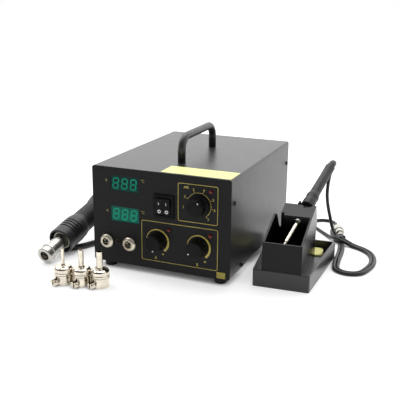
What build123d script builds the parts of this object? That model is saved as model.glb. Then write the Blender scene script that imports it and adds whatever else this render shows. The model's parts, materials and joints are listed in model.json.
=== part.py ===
"""Hot air station: a bench set of a pump station, its hot-air gun on a hose,
three loose nozzles, and a soldering iron in its stand.

Millimetres, +Z up, front towards -Y. The origin is on the bench, at the middle
of the whole set's footprint.
"""
from math import cos, pi, radians, sin, tan
import os

from build123d import *

os.makedirs("parts", exist_ok=True)

# ---- Driving dimensions -------------------------------------------------
CASE_W, CASE_D, CASE_H = 187.0, 245.0, 126.0
FOOT_H, FOOT_R = 9.0, 8.0
CASE_X, CASE_Y = -9.3, -87.3          # middle of the case's front edge

SHEET = 1.2                           # steel sheet of base and cover
PANEL_T = 1.5                         # front and rear panels
FIT = 0.15                            # gap between sheets that slide together
FLANGE = 18.0                         # depth of the panels' turned-in edges
BASE_LIP = 12.0                       # height of the base's turned-up sides
SCREW_R, SCREW_HOLE_R = 1.5, 1.6

DISPLAY_W, DISPLAY_H, DISPLAY_T = 37.6, 19.0, 8.0
WINDOW_W, WINDOW_H, WINDOW_T = 39.4, 19.8, 1.4
DISPLAYS = [(-48.0, 106.0), (-48.0, 66.0)]        # x, height up the panel

KNOBS = {                             # x, height, skirt radius
    "airflow_knob": (52.4, 90.4, 13.4),
    "left_heat_knob": (-3.0, 37.4, 12.0),
    "right_heat_knob": (52.4, 37.4, 12.0),
}
POINTER_ANGLE = {"airflow_knob": 34.0, "left_heat_knob": 174.0, "right_heat_knob": 236.0}
KNOB_R, KNOB_H, KNOB_GAP = 10.6, 15.0, 0.9
POT_R, POT_T = 8.2, 10.0
SHAFT_R, BUSH_R, POT_HOLE_R = 3.0, 3.5, 3.7

SWITCH = (6.2, 83.8)
BEZEL_W, BEZEL_H, BEZEL_T = 28.0, 30.0, 2.6
ROCKER_W, ROCKER_R = 9.6, 11.2
ROCKER_TILT = 10.0                    # each way from level
ROCKER_GAP = 0.3

LEDS = [(67.7, 109.4), (13.0, 54.2), (67.4, 54.0)]
LED_R = 2.5
SOCKETS = {"iron": (-73.8, 28.2), "gun": (-41.8, 28.0)}
SOCKET_R, SOCKET_BORE_R, SOCKET_NUT_R, SOCKET_OUT = 7.2, 4.7, 9.4, 5.2
EARTH_JACK = (-58.2, 29.6)

HANDLE_X, HANDLE_Y0, HANDLE_Y1 = 3.0, 61.0, 168.0
HANDLE_R, HANDLE_RISE, HANDLE_BEND = 4.75, 32.0, 17.0

HOSE_R, CORD_R = 4.0, 2.4

GUN_RISE, GUN_TURN = 14.0, 3.4
MUZZLE_R, MUZZLE_LEN, BEAD_R = 10.8, 9.0, 11.6
BARREL_R, BARREL_WALL = 9.6, 0.8
SHROUD_R, GRIP_R = 18.0, 15.8
SHROUD_START, SHROUD_END = 36.0, 81.0
GRIP_END, BOOT_END = 197.0, 222.0

NOZZLES = {                           # x, y, bore radius, turn of the clamp
    "small_nozzle": (-99.3, -65.6, 1.4, 256.0),
    "medium_nozzle": (-76.2, -61.2, 2.6, 268.0),
    "large_nozzle": (-53.2, -56.4, 3.5, 254.0),
}
NOZZLE_H, NOZZLE_WALL, NOZZLE_FIT = 44.5, 0.55, 0.05
SKIRT_H, CAP_H = 12.4, 22.5

STAND_GAP = 22.8                      # from the case's side to the stand's front corner
STAND_X, STAND_Y, STAND_TURN = CASE_W / 2 + STAND_GAP, 18.7, 3.3
STAND_W, STAND_D, STAND_H, STAND_SPLAY = 70.0, 134.0, 22.0, 10.5
BASE_RIM, BASE_FLOOR = 3.2, 12.0      # the base is a shallow tray
HOLDER_X0, HOLDER_X1, DECK_X0 = 10.5, 59.5, 19.0
HOLDER_Y0, HOLDER_PLATE_Y, HOLDER_Y1 = 1.0, 60.0, 92.0
HOLDER_FRONT_H, HOLDER_H, HOLDER_WALL = 57.0, 76.5, 2.5
DECK_EDGE, DECK_LIP, DECK_LIP_FOOT = (85.4, 84.0), (98.0, 57.0), 50.0
TRAY_Y0, TRAY_Y1, TRAY_FLOOR = 94.0, 127.0, 6.0
SPONGE_T = 8.0

IRON_REST = (41.3, 60.0, 68.4)        # where the iron's axis leaves the rest
IRON_RISE, IRON_TURN = 23.3, 10.5
IRON_TIP, BARREL_TIP, IRON_HANDLE_END = -52.0, -40.0, 121.0
IRON_GRIP_R, IRON_HANDLE_R, IRON_BARREL_R, IRON_NECK_R = 8.4, 6.5, 3.0, 3.2
IRON_SEAT_GAP = 0.35                  # between the grip and its seat
LEAD_BEND, LEAD_LEAN = 14.5, 108.0    # radius and lean of the lead's first bend


# ---- Frames and small helpers -------------------------------------------
def at(x, y, z):
    """A point given from the middle of the case's front edge, on the bench."""
    return (CASE_X + x, CASE_Y + y, z)


def front(y=0.0):
    """Plane parallel to the front panel, y behind its face, facing the user."""
    return Plane(origin=at(0, y, FOOT_H), x_dir=(1, 0, 0), z_dir=(0, -1, 0))


def aimed(origin, rise, turn):
    """Plane whose normal points back (+Y), raised and turned to the right."""
    up, side = radians(rise), radians(turn)
    along = (sin(side) * cos(up), cos(side) * cos(up), sin(up))
    return Plane(origin=origin, x_dir=(cos(side), -sin(side), 0), z_dir=along)


def axis_of(frame):
    return Axis(frame.origin, frame.z_dir)


def half_profile(frame, points):
    """A closed outline of (radius, height) points, set beside the frame's axis."""
    beside = Plane(origin=frame.origin, x_dir=frame.x_dir, z_dir=-frame.y_dir)
    with BuildSketch(beside) as outline:
        with BuildLine():
            Polyline(*points, close=True)
        make_face()
    return outline.sketch


def corner_radii(points, tightest):
    """One bend radius per corner: as large as the two runs at it allow."""
    route = [Vector(*p) for p in points]
    radii = []
    for before, corner, after in zip(route, route[1:], route[2:]):
        turn = (corner - before).get_angle(after - corner)
        run = min((corner - before).length, (after - corner).length)
        radii.append(0.45 * run / tan(radians(turn / 2)))
    print("bend radii over", tightest, "mm:", [round(r, 1) for r in radii])
    return radii


def finish(name, piece):
    piece.part.label = name
    export_step(piece.part, f"parts/{name}.step")


STAND = Plane(origin=at(STAND_X, STAND_Y, 0)).rotated((0, 0, STAND_TURN))
GUN = aimed(at(-154.4, -25.8, 12.0), GUN_RISE, GUN_TURN)
IRON = aimed(STAND.from_local_coords(Vector(*IRON_REST)), IRON_RISE, IRON_TURN - STAND_TURN)

# ---- Case ---------------------------------------------------------------
TOP = FOOT_H + CASE_H
INNER_D = CASE_D - 2 * PANEL_T
FOOT_SPOTS = [(x, y) for x in (-77, 77) for y in (14, CASE_D - 14)]
COVER_SCREWS = [(13.0, 95.0), (44.0, 5.5), (CASE_D - 44.0, 5.5), (CASE_D - 8.0, 95.0)]
FLANGE_OUT_W = CASE_W - 2 * (SHEET + FIT)
FLANGE_OUT_H = CASE_H - 2 * (SHEET + FIT)

with BuildPart() as top_cover:
    with BuildSketch(front(PANEL_T)) as section:
        with Locations((0, CASE_H / 2)):
            Rectangle(CASE_W, CASE_H)
        fillet(section.vertices().group_by(Axis.Z)[-1], radius=3.0)
        with Locations((0, (CASE_H - SHEET) / 2)):
            Rectangle(CASE_W - 2 * SHEET, CASE_H - SHEET, mode=Mode.SUBTRACT)
    extrude(amount=-INNER_D)
    for y, z in COVER_SCREWS:
        with Locations(at(0, y, FOOT_H + z)):
            Cylinder(SCREW_HOLE_R, CASE_W + 2, rotation=(0, 90, 0), mode=Mode.SUBTRACT)
    for y in (HANDLE_Y0, HANDLE_Y1):
        with Locations(at(HANDLE_X, y, TOP)):
            Cylinder(2.2, 4 * SHEET, mode=Mode.SUBTRACT)
finish("top_cover", top_cover)

with BuildPart() as chassis_base:
    base_w, base_d = CASE_W - 2 * (SHEET + FIT), INNER_D - 2 * FIT
    with Locations(at(0, CASE_D / 2, FOOT_H)):
        Box(base_w, base_d, SHEET, align=(Align.CENTER, Align.CENTER, Align.MIN))
    for side in (-1, 1):
        with Locations(at(side * (base_w - SHEET) / 2, CASE_D / 2, FOOT_H)):
            Box(SHEET, CASE_D - 2 * (FLANGE + 4), BASE_LIP,
                align=(Align.CENTER, Align.CENTER, Align.MIN))
    for x, y in FOOT_SPOTS:
        with Locations(at(x, y, FOOT_H)):
            Cylinder(SCREW_HOLE_R, 6, mode=Mode.SUBTRACT)
    with BuildSketch(Plane(at(0, 0, FOOT_H))):
        with Locations((60, 70)):
            with GridLocations(7, 40, 9, 1):
                SlotOverall(40, 3, rotation=90)
    extrude(amount=SHEET, mode=Mode.SUBTRACT)
    for y, z in COVER_SCREWS[1:3]:
        with Locations(at(0, y, FOOT_H + z)):
            Cylinder(SCREW_HOLE_R, CASE_W, rotation=(0, 90, 0), mode=Mode.SUBTRACT)
finish("chassis_base", chassis_base)


def panel_shell(y_face, inward):
    """Panel sheet with its four edges turned in. inward is +1 on the front."""
    face = front(y_face)
    with BuildSketch(face) as sheet:
        with Locations((0, CASE_H / 2)):
            Rectangle(CASE_W, CASE_H)
        fillet(sheet.vertices().group_by(Axis.Z)[-1], radius=3.0)
    extrude(sheet.sketch, amount=-inward * PANEL_T)
    with BuildSketch(face) as rim:
        with Locations((0, CASE_H / 2)):
            Rectangle(FLANGE_OUT_W, FLANGE_OUT_H)
            Rectangle(FLANGE_OUT_W - 2 * SHEET, FLANGE_OUT_H - 2 * SHEET, mode=Mode.SUBTRACT)
    extrude(rim.sketch, amount=-inward * (PANEL_T + FLANGE))
    for x, y in FOOT_SPOTS:
        with Locations(at(x, y, FOOT_H)):
            Cylinder(SCREW_HOLE_R, 8, mode=Mode.SUBTRACT)


with BuildPart() as front_panel:
    panel_shell(0, 1)
    with BuildSketch(front()):
        with Locations(*DISPLAYS):
            Rectangle(WINDOW_W, WINDOW_H)
        with Locations(SWITCH):
            Rectangle(BEZEL_W - 3.0, BEZEL_H - 3.0)
        with Locations(*[(x, z) for x, z, skirt in KNOBS.values()]):
            Circle(POT_HOLE_R)
        with Locations(*LEDS):
            Circle(LED_R + 0.1)
        with Locations(*SOCKETS.values()):
            Circle(SOCKET_R + 0.1)
        with Locations(EARTH_JACK):
            Circle(2.1)
    extrude(amount=-PANEL_T, mode=Mode.SUBTRACT)
    with Locations(at(0, COVER_SCREWS[0][0], FOOT_H + COVER_SCREWS[0][1])):
        Cylinder(SCREW_HOLE_R, CASE_W, rotation=(0, 90, 0), mode=Mode.SUBTRACT)
finish("front_panel", front_panel)

INLET = (52.0, 30.0)                  # x, height up the rear panel
INLET_W, INLET_H = 27.6, 20.2
FUSE = (16.0, 30.0)
GLAND = (-62.0, 20.0 - FOOT_H)
GLAND_HOLE_R = 5.6

with BuildPart() as rear_panel:
    panel_shell(CASE_D, -1)
    with BuildSketch(front(CASE_D)):
        with Locations(INLET):
            Rectangle(INLET_W, INLET_H)
        with Locations(FUSE):
            Circle(6.1)
        with Locations(GLAND):
            Circle(GLAND_HOLE_R)
        with Locations((-30, 92), (30, 92)):
            with GridLocations(40, 7, 1, 5):
                SlotOverall(40, 3.2)
    extrude(amount=PANEL_T, mode=Mode.SUBTRACT)
    with Locations(at(0, COVER_SCREWS[3][0], FOOT_H + COVER_SCREWS[3][1])):
        Cylinder(SCREW_HOLE_R, CASE_W, rotation=(0, 90, 0), mode=Mode.SUBTRACT)
finish("rear_panel", rear_panel)

with BuildPart() as feet:
    for x, y in FOOT_SPOTS:
        foot = Plane(at(x, y, 0))
        revolve(half_profile(foot, [(3.8, 0), (FOOT_R - 1.2, 0), (FOOT_R - 0.4, 1.0), (FOOT_R, FOOT_H),
                                    (1.8, FOOT_H), (1.8, 4.0), (3.8, 4.0)]), axis=axis_of(foot))
finish("feet", feet)

with BuildPart() as case_screws:
    for x, y in FOOT_SPOTS:
        below = Plane(at(x, y, 4.0))
        nut = FOOT_H + 2 * SHEET + FIT - 4.0
        revolve(half_profile(below, [(0, -2.2), (2.4, -2.2), (3.0, -1.4), (3.0, 0), (SCREW_R, 0),
                                     (SCREW_R, nut), (2.9, nut), (2.9, nut + 2.4), (SCREW_R, nut + 2.4),
                                     (SCREW_R, nut + 3.4), (0, nut + 3.4)]), axis=axis_of(below))
    for side in (-1, 1):
        for y, z in COVER_SCREWS:
            outward = Plane(origin=at(side * CASE_W / 2, y, FOOT_H + z), x_dir=(0, 1, 0), z_dir=(side, 0, 0))
            revolve(half_profile(outward, [(0, -7), (SCREW_R, -7), (SCREW_R, 0), (3.1, 0), (2.9, 0.9),
                                           (2.2, 1.7), (1.1, 2.1), (0, 2.1)]), axis=axis_of(outward))
    for y in (HANDLE_Y0, HANDLE_Y1):
        under = Plane(at(HANDLE_X, y, TOP - SHEET))
        revolve(half_profile(under, [(0, -3), (3.4, -3), (4.0, -2.2), (4.0, 0), (2.0, 0), (2.0, 7.0),
                                     (0, 7.0)]), axis=axis_of(under))
finish("case_screws", case_screws)

FERRULE_T, HANDLE_BORE_R = 2.0, 2.1
with BuildPart() as carry_handle:
    base_z, bar_z = TOP + FERRULE_T, TOP + HANDLE_RISE
    with BuildLine() as handle_line:
        FilletPolyline(at(HANDLE_X, HANDLE_Y0, base_z), at(HANDLE_X, HANDLE_Y0, bar_z),
                       at(HANDLE_X, HANDLE_Y1, bar_z), at(HANDLE_X, HANDLE_Y1, base_z), radius=HANDLE_BEND)
    with BuildSketch(Plane(at(HANDLE_X, HANDLE_Y0, base_z))):
        Circle(HANDLE_R)
    sweep(path=handle_line.wire())
    for y in (HANDLE_Y0, HANDLE_Y1):
        leg = Plane(at(HANDLE_X, y, base_z))
        with BuildSketch(leg):
            Circle(HANDLE_BORE_R)
        extrude(amount=8.0, mode=Mode.SUBTRACT)
        ferrule = Plane(at(HANDLE_X, y, TOP))
        revolve(half_profile(ferrule, [(2.4, 0), (6.6, 0), (6.6, 0.8), (5.4, FERRULE_T), (2.4, FERRULE_T)]),
                axis=axis_of(ferrule))
finish("carry_handle", carry_handle)

# ---- Controls on the front panel ----------------------------------------
with BuildPart() as display_windows:
    with BuildSketch(front(0.5)):
        with Locations(*DISPLAYS):
            Rectangle(WINDOW_W - 2 * FIT, WINDOW_H - 2 * FIT)
    extrude(amount=-WINDOW_T)
finish("display_windows", display_windows)

DISPLAY_FACE = 0.5 + WINDOW_T + 0.1
with BuildPart() as display_modules:
    with BuildSketch(front(DISPLAY_FACE)):
        with Locations(*DISPLAYS):
            Rectangle(DISPLAY_W, DISPLAY_H)
    extrude(amount=-DISPLAY_T)
finish("display_modules", display_modules)

BOARD_T = 1.6
DISPLAY_BOARD_Y = DISPLAY_FACE + DISPLAY_T
for name, (x, z, skirt_r) in KNOBS.items():
    knob_frame = Plane(origin=at(x, -KNOB_GAP, FOOT_H + z), x_dir=(1, 0, 0), z_dir=(0, -1, 0))
    with BuildPart() as knob:
        revolve(half_profile(knob_frame, [
            (7.4, 0), (skirt_r - 0.5, 0), (skirt_r, 0.6), (skirt_r - 0.3, 2.2), (KNOB_R + 0.5, 3.4),
            (KNOB_R, KNOB_H - 1.0), (KNOB_R - 0.9, KNOB_H), (0, KNOB_H), (0, KNOB_H - 2.4),
            (SHAFT_R + 0.05, KNOB_H - 2.4), (SHAFT_R + 0.05, 4.2), (7.4, 4.2)]), axis=axis_of(knob_frame))
        with BuildSketch(knob_frame.offset(4.0)):
            with PolarLocations(KNOB_R + 1.5, 12):
                Circle(2.1)
        extrude(amount=KNOB_H, mode=Mode.SUBTRACT)
        with BuildSketch(knob_frame.offset(KNOB_H - 0.4)):
            with PolarLocations(KNOB_R - 2.2, 1, start_angle=90 - POINTER_ANGLE[name]):
                Circle(1.05)
        extrude(amount=1.0, mode=Mode.SUBTRACT)
    finish(name, knob)

    with BuildPart() as shaft:
        with BuildSketch(front(11.0)):
            with Locations((x, z)):
                Circle(SHAFT_R)
        extrude(amount=11.0 + KNOB_GAP + KNOB_H - 2.4)
    finish(name.replace("knob", "shaft"), shaft)

with BuildPart() as potentiometers:
    for x, z, skirt_r in KNOBS.values():
        pot = Plane(origin=at(x, PANEL_T, FOOT_H + z), x_dir=(1, 0, 0), z_dir=(0, 1, 0))
        bore = SHAFT_R + 0.05
        revolve(half_profile(pot, [(bore, -6.4), (BUSH_R, -6.4), (BUSH_R, 0), (POT_R, 0), (POT_R, POT_T),
                                   (0, POT_T), (0, 9.6), (bore, 9.6)]), axis=axis_of(pot))
        with BuildSketch(front(0)):
            with Locations((x, z)):
                RegularPolygon(5.6, 6)
                Circle(BUSH_R + 0.02, mode=Mode.SUBTRACT)
        extrude(amount=2.2)
        with Locations(at(x, PANEL_T + 5.0, FOOT_H + z - POT_R - 3.0)):
            Box(14.0, 1.2, 8.4)
finish("potentiometers", potentiometers)

ROCKER_PIVOT_Y = 1.0
ROCKER_FACE = 6.4                     # rocker's crest in front of its pivot
ROCKER_PIN_R = 1.0
OPEN_W = 2 * ROCKER_W + 3 * ROCKER_GAP
OPEN_H = 2 * (ROCKER_R + ROCKER_GAP)
HOUSING_D = 19.0
with BuildPart() as switch_housing:
    with BuildSketch(front(0)) as bezel:
        with Locations(SWITCH):
            RectangleRounded(BEZEL_W, BEZEL_H, 1.6)
    extrude(amount=BEZEL_T)
    chamfer(switch_housing.faces().sort_by(Axis.Y)[0].edges(), length=0.7)
    with BuildSketch(front(0)):
        with Locations(SWITCH):
            Rectangle(BEZEL_W - 3.4, BEZEL_H - 3.4)
    extrude(amount=-HOUSING_D)
    with BuildSketch(front(-BEZEL_T)):
        with Locations(SWITCH):
            Rectangle(OPEN_W, OPEN_H)
    extrude(amount=-(BEZEL_T + 13.5), mode=Mode.SUBTRACT)
    with Locations(at(SWITCH[0], ROCKER_PIVOT_Y, FOOT_H + SWITCH[1])):
        Cylinder(ROCKER_PIN_R, OPEN_W, rotation=(0, 90, 0))
    with BuildSketch(front(HOUSING_D)):
        with Locations(SWITCH):
            with GridLocations(11.0, 8.5, 2, 3):
                Rectangle(4.8, 0.8)
    extrude(amount=-9.0)
finish("switch_housing", switch_housing)

for name, side in (("left_rocker", -1), ("right_rocker", 1)):
    rocker_x = SWITCH[0] + side * (ROCKER_W + ROCKER_GAP) / 2
    outward = (0, -cos(radians(ROCKER_TILT)), -sin(radians(ROCKER_TILT)))
    pivot = Plane(origin=at(rocker_x - ROCKER_W / 2, ROCKER_PIVOT_Y, FOOT_H + SWITCH[1]),
                  x_dir=outward, z_dir=(1, 0, 0))
    with BuildPart() as rocker:
        with BuildSketch(pivot):
            Circle(ROCKER_R)
            with Locations((ROCKER_R + 4.0, 0)):
                Rectangle(2 * (ROCKER_R + 4.0 - ROCKER_FACE), 3 * ROCKER_R, mode=Mode.SUBTRACT)
            with Locations((ROCKER_FACE + 44.0, 0)):
                Circle(45.4, mode=Mode.SUBTRACT)
            with Locations((-ROCKER_R, 0)):
                Rectangle(2 * (ROCKER_R - 4.5), 3 * ROCKER_R, mode=Mode.SUBTRACT)
            Circle(ROCKER_PIN_R + 0.08, mode=Mode.SUBTRACT)
        extrude(amount=ROCKER_W)
    finish(name, rocker)

with BuildPart() as indicator_leds:
    for x, z in LEDS:
        led = Plane(origin=at(x, PANEL_T, FOOT_H + z), x_dir=(1, 0, 0), z_dir=(0, -1, 0))
        revolve(half_profile(led, [(0, -6.5), (2.9, -6.5), (2.9, 0), (LED_R, 0), (LED_R, 2.4), (2.1, 3.4),
                                   (1.3, 4.1), (0.4, 4.4), (0, 4.4)]), axis=axis_of(led))
finish("indicator_leds", indicator_leds)

with BuildPart() as socket_shells:
    for x, z in SOCKETS.values():
        mouth = Plane(origin=at(x, 0, FOOT_H + z), x_dir=(1, 0, 0), z_dir=(0, -1, 0))
        revolve(half_profile(mouth, [
            (SOCKET_BORE_R, -9.0), (SOCKET_R, -9.0), (SOCKET_R, 0), (SOCKET_NUT_R, 0),
            (SOCKET_NUT_R, 1.2), (SOCKET_NUT_R - 0.4, 2.8), (SOCKET_NUT_R - 1.5, SOCKET_OUT - 0.9),
            (SOCKET_NUT_R - 2.7, SOCKET_OUT), (SOCKET_BORE_R + 0.1, SOCKET_OUT),
            (SOCKET_BORE_R, SOCKET_OUT - 0.2)]), axis=axis_of(mouth))
        with BuildSketch(front(PANEL_T)):
            with Locations((x, z)):
                RegularPolygon(10.4, 6)
                Circle(SOCKET_R + 0.02, mode=Mode.SUBTRACT)
        extrude(amount=-2.8)
finish("socket_shells", socket_shells)

INSERT_Y0, INSERT_Y1, PIN_Y0 = -1.0, 8.0, -2.4
PIN_CIRCLE_R, PIN_R = 3.0, 0.7
with BuildPart() as socket_inserts:
    with BuildSketch(front(INSERT_Y0)):
        with Locations(*SOCKETS.values()):
            Circle(SOCKET_BORE_R - 0.02)
            with PolarLocations(PIN_CIRCLE_R, 5, start_angle=90):
                Circle(PIN_R + 0.02, mode=Mode.SUBTRACT)
    extrude(amount=-(INSERT_Y1 - INSERT_Y0))
finish("socket_inserts", socket_inserts)

with BuildPart() as socket_pins:
    with BuildSketch(front(PIN_Y0)):
        with Locations(*SOCKETS.values()):
            with PolarLocations(PIN_CIRCLE_R, 5, start_angle=90):
                Circle(PIN_R)
    extrude(amount=-(INSERT_Y1 + 4.0 - PIN_Y0))
    with BuildSketch(front(-1.2)):
        with Locations(EARTH_JACK):
            Circle(3.2)
            Circle(1.3, mode=Mode.SUBTRACT)
    extrude(amount=-1.2)
    with BuildSketch(front(0)):
        with Locations(EARTH_JACK):
            Circle(2.0)
            Circle(1.3, mode=Mode.SUBTRACT)
    extrude(amount=-8.0)
finish("socket_pins", socket_pins)

LABEL_T = 0.15
with BuildPart() as blank_labels:
    with Locations(at(45.6, 20.4, TOP)):
        Box(91.0, 33.0, LABEL_T, align=(Align.CENTER, Align.CENTER, Align.MIN))
    with Locations(at(82.2, 0, FOOT_H + 5.4)):
        Box(11.2, LABEL_T, 8.0, align=(Align.CENTER, Align.MAX, Align.CENTER))
finish("blank_labels", blank_labels)

# ---- Inside the case ----------------------------------------------------
FLOOR = FOOT_H + SHEET
CORE_BACK = 69.0                      # from the rear panel to the transformer's middle
CORE_X, CORE_Y = 46.0, CASE_D - CORE_BACK
CORE_W, CORE_D, CORE_H, LIMB = 62.0, 32.0, 52.0, 11.0
CORE_Z = FLOOR + 3.0
with BuildPart() as transformer_core:
    with Locations(at(CORE_X, CORE_Y, CORE_Z)):
        Box(CORE_W, CORE_D, CORE_H, align=(Align.CENTER, Align.CENTER, Align.MIN))
    for side in (-1, 1):
        with Locations(at(CORE_X + side * (CORE_W / 4 - LIMB / 4 + 1.2), CORE_Y, CORE_Z + LIMB)):
            Box(CORE_W / 2 - 1.5 * LIMB - 0.4, CORE_D, CORE_H - 2 * LIMB,
                align=(Align.CENTER, Align.CENTER, Align.MIN), mode=Mode.SUBTRACT)
    with Locations(at(CORE_X, CORE_Y, FLOOR)):
        Box(CORE_W + 22, CORE_D - 12, CORE_Z - FLOOR, align=(Align.CENTER, Align.CENTER, Align.MIN))
finish("transformer_core", transformer_core)

COIL_GAP = 0.5
with BuildPart() as transformer_coil:
    coil_w = CORE_W - 2 * LIMB - 2 * COIL_GAP
    coil_h = CORE_H - 2 * LIMB - 2 * COIL_GAP
    with Locations(at(CORE_X, CORE_Y, CORE_Z + LIMB + COIL_GAP)):
        Box(coil_w, CORE_D + 18, coil_h, align=(Align.CENTER, Align.CENTER, Align.MIN))
    fillet(transformer_coil.edges().filter_by(Axis.Z), radius=4.0)
    with Locations(at(CORE_X, CORE_Y, CORE_Z)):
        Box(LIMB + 3.6, CORE_D, CORE_H, align=(Align.CENTER, Align.CENTER, Align.MIN), mode=Mode.SUBTRACT)
finish("transformer_coil", transformer_coil)

PUMP_BACK = 78.0                      # from the rear panel to the pump's middle
PUMP_X, PUMP_Y, PUMP_W, PUMP_D, PUMP_H = -44.0, CASE_D - PUMP_BACK, 68.0, 90.0, 62.0
MOUNT_H = 10.0
PUMP_Z = FLOOR + MOUNT_H
OUTLET_Z, OUTLET_R = PUMP_Z + 20.0, 2.4
with BuildPart() as air_pump:
    with Locations(at(PUMP_X, PUMP_Y, PUMP_Z)):
        Box(PUMP_W, PUMP_D, PUMP_H, align=(Align.CENTER, Align.CENTER, Align.MIN))
    fillet(air_pump.edges().filter_by(Axis.Y), radius=6.0)
    with BuildSketch(Plane(at(PUMP_X, PUMP_Y, PUMP_Z + PUMP_H))):
        with GridLocations(0, 12, 1, 7):
            SlotOverall(48, 4)
    extrude(amount=-3.0, mode=Mode.SUBTRACT)
    outlet = Plane(origin=at(PUMP_X + 14, PUMP_Y - PUMP_D / 2, OUTLET_Z), x_dir=(1, 0, 0), z_dir=(0, -1, 0))
    with BuildSketch(outlet):
        Circle(OUTLET_R)
    extrude(amount=7.0)
finish("air_pump", air_pump)

with BuildPart() as pump_mounts:
    for dx in (-24, 24):
        for dy in (-38, 38):
            mount = Plane(at(PUMP_X + dx, PUMP_Y + dy, FLOOR))
            revolve(half_profile(mount, [(0, 0), (7, 0), (7, 2), (4.6, 4), (4.6, 6), (7, 8), (7, MOUNT_H),
                                         (0, MOUNT_H)]), axis=axis_of(mount))
finish("pump_mounts", pump_mounts)

TUBE_R, TUBE_BORE_R = 4.0, 2.5
GLAND_Z, GLAND_OUT = FOOT_H + GLAND[1], 13.0
PUMP_FRONT = PUMP_Y - PUMP_D / 2
TUBE_SIDE_X = PUMP_X - PUMP_W / 2 - TUBE_R - 2.5
TUBE_ROUTE = [at(*p) for p in (
    (PUMP_X + 14, PUMP_FRONT, OUTLET_Z), (PUMP_X + 14, PUMP_FRONT - 14, OUTLET_Z),
    (PUMP_X - 4, PUMP_FRONT - 21, OUTLET_Z - 4), (PUMP_X - 26, PUMP_FRONT - 19, GLAND_Z + 6),
    (TUBE_SIDE_X, PUMP_FRONT - 5, GLAND_Z + 1), (TUBE_SIDE_X - 0.4, PUMP_Y, GLAND_Z),
    (TUBE_SIDE_X, CASE_D - 34, GLAND_Z), (TUBE_SIDE_X + 8, CASE_D - 19, GLAND_Z),
    (GLAND[0], CASE_D - 13, GLAND_Z), (GLAND[0], CASE_D + GLAND_OUT, GLAND_Z))]
with BuildPart() as air_tube:
    with BuildLine() as tube_line:
        FilletPolyline(*TUBE_ROUTE, radius=corner_radii(TUBE_ROUTE, 2 * TUBE_R))
    with BuildSketch(Plane(origin=TUBE_ROUTE[0], x_dir=(1, 0, 0), z_dir=(0, -1, 0))):
        Circle(TUBE_R)
        Circle(TUBE_BORE_R, mode=Mode.SUBTRACT)
    sweep(path=tube_line.wire())
finish("air_tube", air_tube)

with BuildPart() as hose_gland:
    gland = Plane(origin=at(GLAND[0], CASE_D, GLAND_Z), x_dir=(1, 0, 0), z_dir=(0, 1, 0))
    bore = TUBE_R + 0.1
    revolve(half_profile(gland, [(bore, -6), (5.5, -6), (5.5, 0), (9.0, 0), (9.0, 1.8), (7.6, 2.4),
                                 (7.6, 9.0), (6.4, GLAND_OUT), (bore, GLAND_OUT)]), axis=axis_of(gland))
    with BuildSketch(gland.offset(2.0)):
        RegularPolygon(9.4, 6)
        Circle(5.0, mode=Mode.SUBTRACT)
    extrude(amount=5.0)
finish("hose_gland", hose_gland)

with BuildPart() as power_inlet:
    with BuildSketch(front(CASE_D)):
        with Locations(INLET):
            RectangleRounded(48.0, 23.0, 3.0)
            with GridLocations(40.0, 0, 2, 1):
                Circle(1.7, mode=Mode.SUBTRACT)
    extrude(amount=-2.6)
    with BuildSketch(front(CASE_D)):
        with Locations(INLET):
            Rectangle(INLET_W - 0.4, INLET_H - 0.4)
    extrude(amount=18.0)
    with BuildSketch(front(CASE_D + 2.6)):
        with Locations(INLET):
            RectangleRounded(23.4, 15.6, 2.0)
    extrude(amount=16.0, mode=Mode.SUBTRACT)
    with BuildSketch(front(CASE_D - 13.4)):
        with Locations((INLET[0], INLET[1] + 2.0)):
            Rectangle(2.0, 4.6)
        with Locations((INLET[0] - 7.0, INLET[1] - 2.0), (INLET[0] + 7.0, INLET[1] - 2.0)):
            Rectangle(2.0, 4.6)
    extrude(amount=-13.0)
finish("power_inlet", power_inlet)

with BuildPart() as fuse_holder:
    cap = Plane(origin=at(FUSE[0], CASE_D, FOOT_H + FUSE[1]), x_dir=(1, 0, 0), z_dir=(0, 1, 0))
    revolve(half_profile(cap, [(0, -24), (4.6, -24), (4.6, -8), (6.0, -8), (6.0, 0), (8.2, 0), (8.2, 2.0),
                               (6.2, 2.4), (5.8, 9.0), (4.8, 9.8), (0, 9.8)]), axis=axis_of(cap))
finish("fuse_holder", fuse_holder)

BOARD_X, BOARD_Y, BOARD_W, BOARD_D = -8.0, 62.0, 150.0, 62.0
STANDOFF_H = 8.0
BOARD_Z = FLOOR + STANDOFF_H
BOARD_HOLES = (BOARD_W - 10, BOARD_D - 10)
with BuildPart() as circuit_boards:
    with BuildSketch(Plane(at(BOARD_X, BOARD_Y, BOARD_Z))):
        RectangleRounded(BOARD_W, BOARD_D, 2.0)
        with GridLocations(*BOARD_HOLES, 2, 2):
            Circle(1.6, mode=Mode.SUBTRACT)
    extrude(amount=BOARD_T)
    with BuildSketch(front(DISPLAY_BOARD_Y)):
        with Locations((-48.0, 86.0)):
            RectangleRounded(54.0, 70.0, 1.5)
            with GridLocations(48.0, 62.0, 2, 2):
                Circle(1.6, mode=Mode.SUBTRACT)
    extrude(amount=-BOARD_T)
    with BuildSketch(front(DISPLAY_BOARD_Y + BOARD_T)):
        with Locations((-48.0, 86.0)):
            Rectangle(24.0, 9.0)
    extrude(amount=-3.6)
finish("circuit_boards", circuit_boards)

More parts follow.
